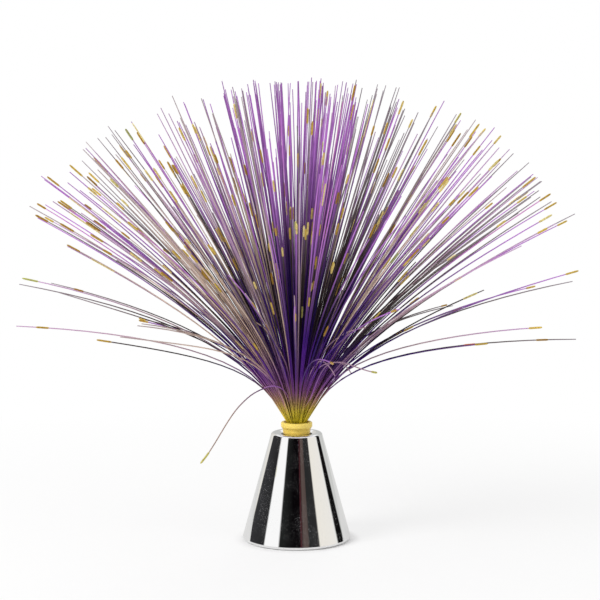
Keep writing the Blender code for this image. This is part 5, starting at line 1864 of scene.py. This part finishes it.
@dataclass
class Crowding:
    """How many more strands stand beside each one of the part, and how they run.

    The rows of coverage start with a side, in degrees from upright to the right, that they reach to.
    """

    layout: Layout = field(default_factory=Layout)
    most: Point = (2.4, 0.0)
    thinning: float = 1.1
    skirt_most: Point = (1.7, 0.5)
    tipped_odds: Place = (0.15, 0.42, 0.43)
    coverage: tuple[Point, ...] = (
        (-46.0, 1.0), (-36.0, 0.7), (-20.0, 0.3), (3.0, 0.9), (15.0, 1.6), (22.0, 0.35),
        (30.0, 0.8), (37.0, 0.4), (46.0, 0.15), (56.0, 1.1), (91.0, 1.0),
    )
    scatter: Point = (1.5, 0.4)
    least_turn: float = 0.35
    root_scatter: float = 0.16 * MM
    root_limit: float = 6.95 * MM
    tip_scatter: float = 1.5 * MM
    bend_scatter: Point = (0.9, 1.12)
    spans: tuple[Point, Point] = ((0.36, 0.86), (0.955, 1.0))
    full_odds: Point = (1.0, 0.26)
    full_thinning: float = 2.4

    def count(self, seed: Seed, fullness: float, chance: Dice) -> int:
        """How many more strands stand beside one of the part.

        Args:
            seed: the part's strand.
            fullness: how full its lock is.
            chance: the source of what is left over.

        Returns:
            Their number.
        """
        if seed.stray:
            return 0
        side = seed.sideways()
        inner, outer = self.most
        most = inner + (outer - inner) * min(1.0, seed.quota * self.thinning)
        if seed.quota > self.layout.dense_share:
            most = self.skirt_most[side > 0.0]
        extra = int(most * beyond(self.coverage, side)[0] * fullness + chance.uniform(0.0, 1.0))
        return chance.choice(len(self.tipped_odds), p=self.tipped_odds) if seed.tipped else extra

    def companion(self, seed: Seed, chance: Dice) -> Seed:
        """One more strand beside a strand of the part: close to a tipped one, looser by a full one.

        Args:
            seed: the part's strand.
            chance: the source of its shift.

        Returns:
            How the new strand runs.
        """
        close = math.radians(self.scatter[seed.tipped])
        shift = chance.normal(0.0, self.root_scatter, 2)
        root = tuple(np.clip(np.array(seed.root) + shift, -self.root_limit, self.root_limit))
        turn = close / max(self.least_turn, math.sin(seed.lean))
        inner, outer = self.full_odds
        full = inner + (outer - inner) * min(1.0, seed.quota * self.full_thinning)
        if seed.tipped:
            length = seed.length + chance.normal(0.0, self.tip_scatter)
        else:
            length = self.layout.length * chance.uniform(*self.spans[chance.random() < full])
        return replace(
            seed,
            root=root,
            lean=seed.lean + chance.normal(0.0, close),
            azimuth=seed.azimuth + chance.normal(0.0, turn),
            bend=seed.bend * (1.0 if seed.tipped else chance.uniform(*self.bend_scatter)),
            length=length,
        )


@dataclass
class Dyeing:
    """Which dye a strand has, and how light it is.

    The rows of shares say how much violet, smoke, taupe and mauve there is up to a side in degrees.
    """

    layout: Layout = field(default_factory=Layout)
    shares: tuple[tuple[float, ...], ...] = (
        (-62.0, 0.02, 0.5, 0.3, 0.18),
        (-48.0, 0.14, 0.34, 0.38, 0.14),
        (-28.0, 0.14, 0.28, 0.46, 0.12),
        (-9.0, 0.22, 0.2, 0.48, 0.1),
        (12.0, 0.76, 0.12, 0.0, 0.12),
        (26.0, 0.26, 0.52, 0.06, 0.16),
        (38.0, 0.34, 0.38, 0.14, 0.14),
        (54.0, 0.2, 0.5, 0.1, 0.2),
        (66.0, 0.4, 0.14, 0.08, 0.38),
        (90.0, 0.35, 0.4, 0.05, 0.2),
    )
    short_below: float = 0.72
    short_weights: tuple[float, ...] = (0.25, 1.3, 1.4, 0.5)
    long_weights: tuple[float, ...] = (1.25, 0.6, 0.45, 0.8)
    own_odds: float = 0.25
    inner_tone: float = 0.2
    # How much darker inner strands are than outer ones: a painted shade.
    inner_shade_gain: float = 0.4
    lock_gain: float = 0.3
    scatter: float = 0.19
    pale_odds: float = 0.05
    pale_gain: float = 0.4
    palest: float = 1.2

    def dye(self, run: Seed, pick: float, chance: Dice) -> Dye:
        """A strand's dye, by its side and length: taupe left, violet midway, smoke right of it.

        Args:
            run: how the strand runs.
            pick: its lock's number from 0 to 1.
            chance: the source of a number of its own, which some strands have.

        Returns:
            The dye.
        """
        if chance.random() < self.own_odds:
            pick = chance.random()
        short = run.length < self.short_below * self.layout.length
        shares = np.array(beyond(self.shares, run.sideways()))
        shares *= self.short_weights if short else self.long_weights
        steps = np.cumsum(shares) / shares.sum()
        return list(Dye)[min(len(steps) - 1, int(np.searchsorted(steps, pick)))]

    def tone(self, seed: Seed, light: float, chance: Dice) -> float:
        """How light a strand is: darker inside as painted shade, lighter outside, and lighter in light locks.

        Args:
            seed: the part's strand that it is, or stands by.
            light: its lock's lightness from 0 to 1.
            chance: the source of what sets it apart.

        Returns:
            Its tone, 0 and up.
        """
        # Painted shade: a strand is darker the further in it lies among the others.
        tone = self.inner_tone + self.inner_shade_gain * seed.quota + self.lock_gain * (light - 0.5)
        tone += chance.normal(0.0, self.scatter)
        if chance.random() < self.pale_odds:
            tone += self.pale_gain
        return min(self.palest, max(0.0, tone))


@dataclass
class Gilding:
    """Where strands are dipped in gold: mostly on their ends, here and there midway.

    The rows of rim_odds say how likely gold is on a full strand's end, up to a side in degrees.
    """

    layout: Layout = field(default_factory=Layout)
    radius: float = 0.72 * MM
    length: Point = (7.0 * MM, 11.5 * MM)
    sides: int = 8
    places: tuple[float, ...] = (0.0, 0.06, 0.2, 0.5, 0.8, 0.94, 1.0)
    profile: tuple[float, ...] = (0.55, 0.9, 1.0, 0.97, 1.0, 0.85, 0.5)
    over: float = 0.4
    tipped_odds: float = 0.92
    short_odds: float = 0.75
    rim_odds: tuple[Point, ...] = ((-64.0, 0.75), (-32.0, 0.42), (28.0, 0.07), (66.0, 0.5), (91.0, 0.35))
    tones: Point = (2.3, 2.3)
    set_back: Point = (4.0 * MM, 26.0 * MM)
    set_back_odds: float = 0.4
    pale_odds: Point = (0.01, 0.15)
    pale_side: Point = (-62.0, -28.0)
    pale_length: Point = (16.0 * MM, 30.0 * MM)
    pale_back_mm: float = 20.0
    pale_width: float = 0.65
    pale_tone: float = 0.8
    middle_odds: float = 0.11
    middle_places: Point = (0.5, 0.9)
    middle_tones: Point = (2.6, 2.2)

    def odds(self, seed: Seed, length: float) -> Point:
        """The odds of gold on a strand's end, and of a long pale stretch near its end.

        Args:
            seed: the part's strand that it is, or stands by.
            length: its own length.

        Returns:
            Both odds.
        """
        side = seed.sideways()
        pale = self.pale_odds[self.pale_side[0] < side < self.pale_side[1]]
        if seed.tipped:
            return self.tipped_odds, pale
        full = length > self.layout.full_shares[0] * self.layout.length
        return (beyond(self.rim_odds, side)[0] if full else self.short_odds), pale

    def stretches(self, end: float, odds: Point, luck: Dice) -> list[Place]:
        """The gold stretches of a strand.

        Args:
            end: the strand's length.
            odds: the odds of gold on its end, and of a long pale stretch near its end.
            luck: the source of both.

        Returns:
            Start, length and tone of each.
        """
        found = []
        if luck.random() < odds[0]:
            size = luck.uniform(*self.length)
            back = luck.uniform(*self.set_back) if luck.random() < self.set_back_odds else 0.0
            found.append((end - size - back, size, luck.beta(*self.tones)))
        elif luck.random() < odds[1]:
            size = luck.uniform(*self.pale_length)
            found.append((end - size - luck.uniform(0.0, self.pale_back_mm) * MM, size, self.pale_tone))
        if luck.random() < self.middle_odds:
            size = luck.uniform(*self.length)
            place = luck.uniform(*self.middle_places) * end - size
            found.append((place, size, luck.beta(*self.middle_tones)))
        return found

    def add(self, bundle: Bundle, strand: Strand) -> None:
        """Adds a strand's gold stretches, thicker than the strand and rounded at their ends.

        Args:
            bundle: where they go.
            strand: the strand.
        """
        end = strand.along[-1]
        for start, size, tone in strand.golds:
            start = min(start, end - size)
            line = np.array([strand.at(start + size * place) for place in self.places])
            if start + size >= end - NEAR:
                line[-1] += (line[-1] - line[-2]) * self.over
            width = self.pale_width if size > self.length[1] else 1.0
            bundle.add(line, width * self.radius * np.array(self.profile), tone=np.full(len(line), tone))


@dataclass
class Spray:
    """The dressed strands: the part's own, more of the same beside them, gold tips and loose ones."""

    layout: Layout = field(default_factory=Layout)
    view: View = field(default_factory=View)
    crowding: Crowding = field(default_factory=Crowding)
    dyeing: Dyeing = field(default_factory=Dyeing)
    gilding: Gilding = field(default_factory=Gilding)
    gather: float = 0.8
    foot_radius: float = 0.25 * MM
    radius: float = 0.44 * MM
    end_radius: float = 0.36 * MM
    swell: float = 45.0 * MM
    taper_from: float = 0.6
    end_taper: float = 0.8
    sides: int = 6
    rings: int = 18
    ring_power: float = 1.3
    fine_steps: int = 90
    stretch: float = 1.028
    ceiling: float = 325.6 * MM
    reach: float = 197.3 * MM
    wave_turns: Point = (0.4, 1.2)
    wave_sizes: Point = (0.3, 1.0)
    own_wave: float = 0.9 * MM
    waves: Point = (1.2 * MM, 4.0 * MM)
    wave_odds: Point = (0.75, 0.25)
    fullness: Point = (0.2, 2.0)
    lock_bands: float = 7.0
    lock_sway: float = 0.3
    lock_shift: float = 0.25
    free_foot: float = 0.6
    free_step: float = 3.0 * MM
    free_spread: int = 4
    potted_mm: tuple[Place, ...] = (
        (0.0, 60.7, 0.0), (7.3, 60.7, 0.3), (7.3, 81.6, 0.8), (6.2, 82.2, 0.4), (0.0, 82.4, 0.0),
    )
    potted_steps: int = 64

    def line(self, seed: Seed, chance: Dice, loose: float) -> np.ndarray:
        """The middle of a strand in fine steps, from its root to its full length.

        Args:
            seed: how the strand runs.
            chance: the source of its small waves.
            loose: size of its waves.

        Returns:
            One row a step.
        """
        plan = self.layout
        root_lean = min(seed.lean, plan.dense_angle) * plan.root_lean_share
        sag = 0.0 if seed.stray else plan.sag * max(0.0, math.sin(seed.lean)) ** 4
        step = self.stretch * plan.length / self.fine_steps
        middles = (np.arange(self.fine_steps) + 0.5) * step
        bent = 1 - np.exp(-np.maximum(0.0, middles - seed.start) / seed.bend)
        leans = root_lean + (seed.lean - root_lean) * bent + sag * (middles / plan.length) ** 2
        right, away = math.cos(seed.azimuth), math.sin(seed.azimuth)
        steps = np.stack([np.sin(leans) * right, np.sin(leans) * away, np.cos(leans)], axis=1)
        root = np.array([seed.root[0] * self.gather, seed.root[1] * self.gather, plan.root_height])
        line = np.vstack([root, root + np.cumsum(steps * step, axis=0)])
        share = np.linspace(0.0, 1.0, self.fine_steps + 1)
        side = np.array([-away, right, 0.0])
        for way in (side, np.cross(side, steps[-1])):
            turns, phase = chance.uniform(*self.wave_turns), chance.uniform(0.0, math.tau)
            wave = np.sin(math.tau * turns * share + phase) - math.sin(phase)
            line += np.outer(loose * chance.uniform(*self.wave_sizes) * share * wave, way)
        return line

    def trimmed(self, line: np.ndarray, length: float) -> tuple[np.ndarray, np.ndarray]:
        """Cuts a line to its length and to the spray's reach, and thins it to its rings.

        Args:
            line: the fine line.
            length: the length to keep.

        Returns:
            The rings' middles, and their distance from the root.
        """
        along = np.linspace(0.0, self.stretch * self.layout.length, len(line))
        out = (np.hypot(line[:, 0], line[:, 1]) > self.reach) | (line[:, 2] > self.ceiling)
        end = min(length, along[out.argmax() - 1] if out.any() else length)
        places = end * np.linspace(0.0, 1.0, self.rings) ** self.ring_power
        return np.stack([np.interp(places, along, line[:, axis]) for axis in range(3)], axis=1), places

    def grown(self, seed: Seed, number: int, look: Place, dice: tuple[Dice, Dice]) -> Strand:
        """The part's own strand, or one beside it.

        Args:
            seed: the part's strand.
            number: 0 for itself, and more for those beside it.
            look: its lock's pick of dye, lightness and fullness.
            dice: the sources of its run and look, and of its gold.

        Returns:
            The strand.
        """
        chance, luck = dice
        pick, light, _ = look
        run = self.crowding.companion(seed, chance) if number else seed
        waving = number and not seed.tipped
        loose = chance.choice(self.waves, p=self.wave_odds) if waving else self.own_wave
        dye = self.dyeing.dye(run, pick, chance)
        tone = self.dyeing.tone(seed, light, chance)
        length = run.length * (1.0 if seed.tipped else self.stretch)
        line, along = self.trimmed(self.line(run, chance, loose), length)
        golds = self.gilding.stretches(along[-1], self.gilding.odds(seed, run.length), luck)
        return Strand(line, along, dye, tone, golds)

    def strands(self) -> list[tuple[int, Strand]]:
        """The part's strands and those beside them, in locks that share a look.

        Returns:
            Each strand with the number of its sector, or 0 for the crown.
        """
        plan = self.layout
        chance, luck = np.random.default_rng(SEED), np.random.default_rng(SEED + 1)
        looks: dict[tuple[int, int], Place] = {}
        made = []
        for seed in plan.seeds():
            arm = (plan.waves * seed.azimuth + plan.twist * seed.quota) / math.tau - self.lock_shift
            lock = (round(arm), int(seed.quota * self.lock_bands + self.lock_sway * math.sin(arm)))
            if lock not in looks:
                looks[lock] = (chance.random(), chance.random(), chance.uniform(*self.fullness))
            if seed.stray and seed.root[1] < 0.0:
                continue
            for number in range(1 + self.crowding.count(seed, looks[lock][2], chance)):
                made.append((seed.sector, self.grown(seed, number, looks[lock], (chance, luck))))
        return made

    def free_strands(self) -> list[Strand]:
        """The strands that stand out by themselves.

        Returns:
            One strand for each.
        """
        rows = (
            FreeStrand(LEFT_ARC, 0.58, 0.0, Dye.TAUPE, 0.3, 9.5 * MM, 0.86),
            FreeStrand(RIGHT_HOOK, -0.35, 25.0 * MM, Dye.MAUVE, 0.75),
            FreeStrand(RIGHT_ARC, -0.35, 29.0 * MM, Dye.MAUVE, 0.9, 4.0 * MM, 0.87),
            FreeStrand(RIGHT_LOOP, -0.35, 30.0 * MM, Dye.MAUVE, 0.95),
            FreeStrand(RIGHT_RISE, -0.5, 28.0 * MM, Dye.MAUVE, 0.8),
            FreeStrand(LEFT_RISE, 0.2, 30.0 * MM, Dye.TAUPE, 0.5),
            FreeStrand(BACK_ARC, 0.3, 22.0 * MM, Dye.MAUVE, 1.0),
        )
        made = []
        for row in rows:
            nears = [row.near * min(1.0, (i + 1) / self.free_spread) for i in range(len(row.spots))]
            points = [self.view.place(*spot, row.lean, near) for spot, near in zip(row.spots, nears)]
            foot = (*points[0][:2] * self.free_foot, self.layout.root_height)
            knots = [Vector(point) for point in (foot, *points)]
            line = np.array([tuple(p) for p in smooth_line(knots, self.free_step)])
            along = np.concatenate([[0.0], np.cumsum(np.linalg.norm(np.diff(line, axis=0), axis=1))])
            golds = [(along[-1] - row.gold, row.gold, row.gold_tone)] if row.gold else []
            made.append(Strand(line, along, row.dye, row.tone, golds))
        return made

    def add_strand(self, bundle: Bundle, strand: Strand) -> None:
        """Adds a strand's tube with its dye.

        Args:
            bundle: where it goes.
            strand: the strand.
        """
        whole = self.layout.length
        places = (0.0, self.swell, self.taper_from * whole, whole)
        radii = np.interp(strand.along, places, (self.foot_radius, self.radius, self.radius, self.end_radius))
        radii[-1] *= self.end_taper
        looks = {"tone": strand.tone, "smoke": strand.dye.value[0], "taupe": strand.dye.value[1]}
        stored = {name: np.full(len(strand.line), value) for name, value in looks.items()}
        bundle.add(strand.line, radii, along=strand.along / whole, **stored)

    def build(self) -> list[Piece]:
        """The strands, sector by sector, the free strands, the gold and the potted foot.

        Returns:
            The pieces.
        """
        bundles = [Bundle(self.sides) for _ in range(self.layout.sectors + 1)]
        outer, gold = Bundle(self.sides), Bundle(self.gilding.sides)
        strands = [(bundles[sector], strand) for sector, strand in self.strands()]
        strands += [(outer, strand) for strand in self.free_strands()]
        for bundle, strand in strands:
            self.add_strand(bundle, strand)
            self.gilding.add(gold, strand)
        pieces = []
        for sector, bundle in enumerate(bundles):
            part = f"sector_{sector}" if sector else "crown"
            made = bundle.build(f"strands_{part}", DYE_AND_SHADE)
            pieces.append(settle(made, "spray", "strand_violet", f"fibres_{part}"))
        pieces.append(settle(outer.build("strands_free", DYE_AND_SHADE), "spray", "strand_violet"))
        pieces.append(settle(gold.build("strand_tips", GOLD), "spray", "tip_gold"))
        corners = [tuple(size * MM for size in corner) for corner in self.potted_mm]
        slug = turned("potted_foot", filleted(corners), self.potted_steps, POTTED)
        return pieces + [settle(slug, "spray", "strand_violet")]


@dataclass
class Studio:
    """Floor, lights and surroundings."""

    floor_radius: float = 3.0
    floor_opening: float = 0.0355
    floor_steps: int = 128
    shade_start: float = 0.036
    shade_end: float = 0.046
    fade_start: float = 0.12
    fade_end: float = 0.6
    floor_low: Colour = (0.93, 0.93, 0.925)
    floor_high: Colour = (0.95, 0.95, 0.945)
    floor_grain: float = 20.0 * MM
    floor_white: Colour = (0.995, 0.995, 0.995)
    white: Colour = (1.0, 1.0, 1.0)
    floor_mirrored: Colour = tint(219, 219, 217)
    floor_share: float = 0.7
    ambient: Colour = (0.52, 0.52, 0.52)
    bands: Stops = shades(
        (-180.0, 196, 197, 195), (-150.0, 222, 219, 212), (-127.5, 234, 232, 225), (-124.5, 54, 54, 56),
        (-74.6, 38, 38, 39), (-71.6, 255, 255, 254), (-40.0, 255, 255, 254), (-37.0, 34, 36, 35),
        (-8.0, 6, 4, 6), (8.0, 8, 5, 7), (10.5, 84, 40, 46), (13.0, 34, 18, 20), (15.5, 92, 78, 74),
        (25.5, 84, 72, 68), (28.0, 40, 41, 41), (49.0, 44, 44, 44), (52.0, 240, 236, 226),
        (90.0, 240, 237, 230), (96.4, 236, 236, 232), (99.4, 12, 12, 12), (117.0, 16, 16, 16),
        (121.0, 210, 211, 208), (150.0, 198, 199, 196), (180.0, 196, 197, 195),
    )
    overhead: Point = (0.5, 0.62)
    aim: Place = (0.0, 0.0, 0.15)
    lamps: tuple[tuple[str, Place, float, float], ...] = (
        ("key", (-1.5, -1.05, 1.45), 1.0, 31.0),
        ("fill", (1.6, -1.2, 1.1), 1.4, 7.0),
        ("rear", (0.4, 1.8, 1.5), 1.4, 10.0),
    )

    def floor_look(self) -> bpy.types.Material:
        """A pale matt floor that brightens into the white far off and keeps the lamp's shadow near by.

        Returns:
            Its material.
        """
        shader = Shader("floor_pale")
        grain = shader.noise(self.floor_grain)
        shader.set(
            Base_Color=shader.mix(grain, self.floor_low, self.floor_high),
            Roughness=1.0,
            Specular_IOR_Level=0.0,
        )
        length = shader.add("ShaderNodeVectorMath", operation="LENGTH")
        shader.feed(length.inputs[0], shader.place)
        way = length.outputs["Value"]
        rays = shader.add("ShaderNodeLightPath").outputs
        glows = []
        for plain in (self.floor_white, self.white):
            glow = shader.add("ShaderNodeEmission")
            shader.feed(glow.inputs["Color"], shader.mix(rays["Is Glossy Ray"], plain, self.floor_mirrored))
            glows.append(glow.outputs[0])
        bright = shader.blend(shader.spread(way, self.fade_start, self.fade_end), *glows)
        fade = shader.spread(way, self.fade_start, self.fade_end, self.floor_share, 1.0)
        shade = shader.spread(way, self.shade_start, self.shade_end)
        seen = shader.plus(*[rays[f"Is {kind} Ray"] for kind in ("Camera", "Glossy", "Transmission")])
        share = shader.times(shader.maths("MINIMUM", seen, 1.0), shader.times(fade, shade))
        both = shader.blend(share, shader.skin.outputs[0], bright)
        back = shader.add("ShaderNodeNewGeometry").outputs["Backfacing"]
        one_sided = shader.blend(back, both, shader.add("ShaderNodeBsdfTransparent").outputs[0])
        shader.feed(shader.tree.nodes["Material Output"].inputs["Surface"], one_sided)
        return shader.material

    def floor(self) -> None:
        """The floor, open under the lamp and seen from above only, so that its underside can be looked at."""
        steps = self.floor_steps
        turns = [i * math.tau / steps for i in range(steps)]
        radii = (self.floor_opening, self.floor_radius)
        rims = [(radius * math.cos(t), radius * math.sin(t), 0.0) for radius in radii for t in turns]
        faces = [(i, i + steps, (i + 1) % steps + steps, (i + 1) % steps) for i in range(steps)]
        mesh = bpy.data.meshes.new("floor")
        mesh.from_pydata(rims, [], faces)
        mesh.materials.append(self.floor_look())
        floor = bpy.data.objects.new("floor", mesh)
        bpy.context.scene.collection.objects.link(floor)

    def surroundings(self) -> None:
        """White for the camera, upright light and dark bands for polished metal, plain grey for the rest."""
        world = bpy.data.worlds.new("studio")
        bpy.context.scene.world = world
        world.use_nodes = True
        nodes = Nodes(world.node_tree, "Generated")
        right, away, up = nodes.axes()
        turn = nodes.maths("ARCTAN2", right, nodes.times(away, -1.0))
        bands = [(angle / 360.0 + 0.5, colour) for angle, colour in self.bands]
        round_about = nodes.ramp(nodes.plus(nodes.maths("DIVIDE", turn, math.tau), 0.5), bands)
        mirror = nodes.mix(nodes.spread(up, *self.overhead), round_about, self.white)
        rays = nodes.add("ShaderNodeLightPath").outputs
        plain = nodes.mix(rays["Is Glossy Ray"], self.ambient, mirror)
        seen = nodes.maths("MAXIMUM", rays["Is Camera Ray"], rays["Is Transmission Ray"])
        back = world.node_tree.nodes["Background"]
        nodes.feed(back.inputs["Color"], nodes.mix(seen, plain, self.white))

    def lamp(self, name: str, place: Place, size: float, power: float) -> None:
        """A soft square light aimed at the lamp, unseen in mirrors.

        Args:
            name: the light's name.
            place: where it hangs.
            size: the length of its sides.
            power: its power.
        """
        data = bpy.data.lights.new(name, "AREA")
        data.size = size
        data.energy = power
        light = bpy.data.objects.new(name, data)
        light.location = place
        light.rotation_euler = (Vector(self.aim) - Vector(place)).to_track_quat("-Z", "Y").to_euler()
        light.visible_glossy = False
        light.visible_camera = False
        bpy.context.scene.collection.objects.link(light)

    def build(self) -> None:
        """The whole studio."""
        bpy.context.scene.view_settings.view_transform = "Standard"
        self.floor()
        self.surroundings()
        for lamp in self.lamps:
            self.lamp(*lamp)


def main() -> None:
    """Builds the lamp piece by piece round the loaded frame."""
    logging.basicConfig(level=logging.INFO, format="%(name)s: %(message)s")
    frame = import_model()
    Studio().build()
    View().build()
    pieces = [Cone().build(), SocketSleeve().build(frame)]
    pieces += Collar().build()
    LightUnit().build(frame)
    pieces += Base().build(frame)
    pieces += Spray().build()
    for piece in pieces:
        log.info("%s: %d faces", piece.name, len(piece.data.polygons))


if __name__ == "__main__":
    main()
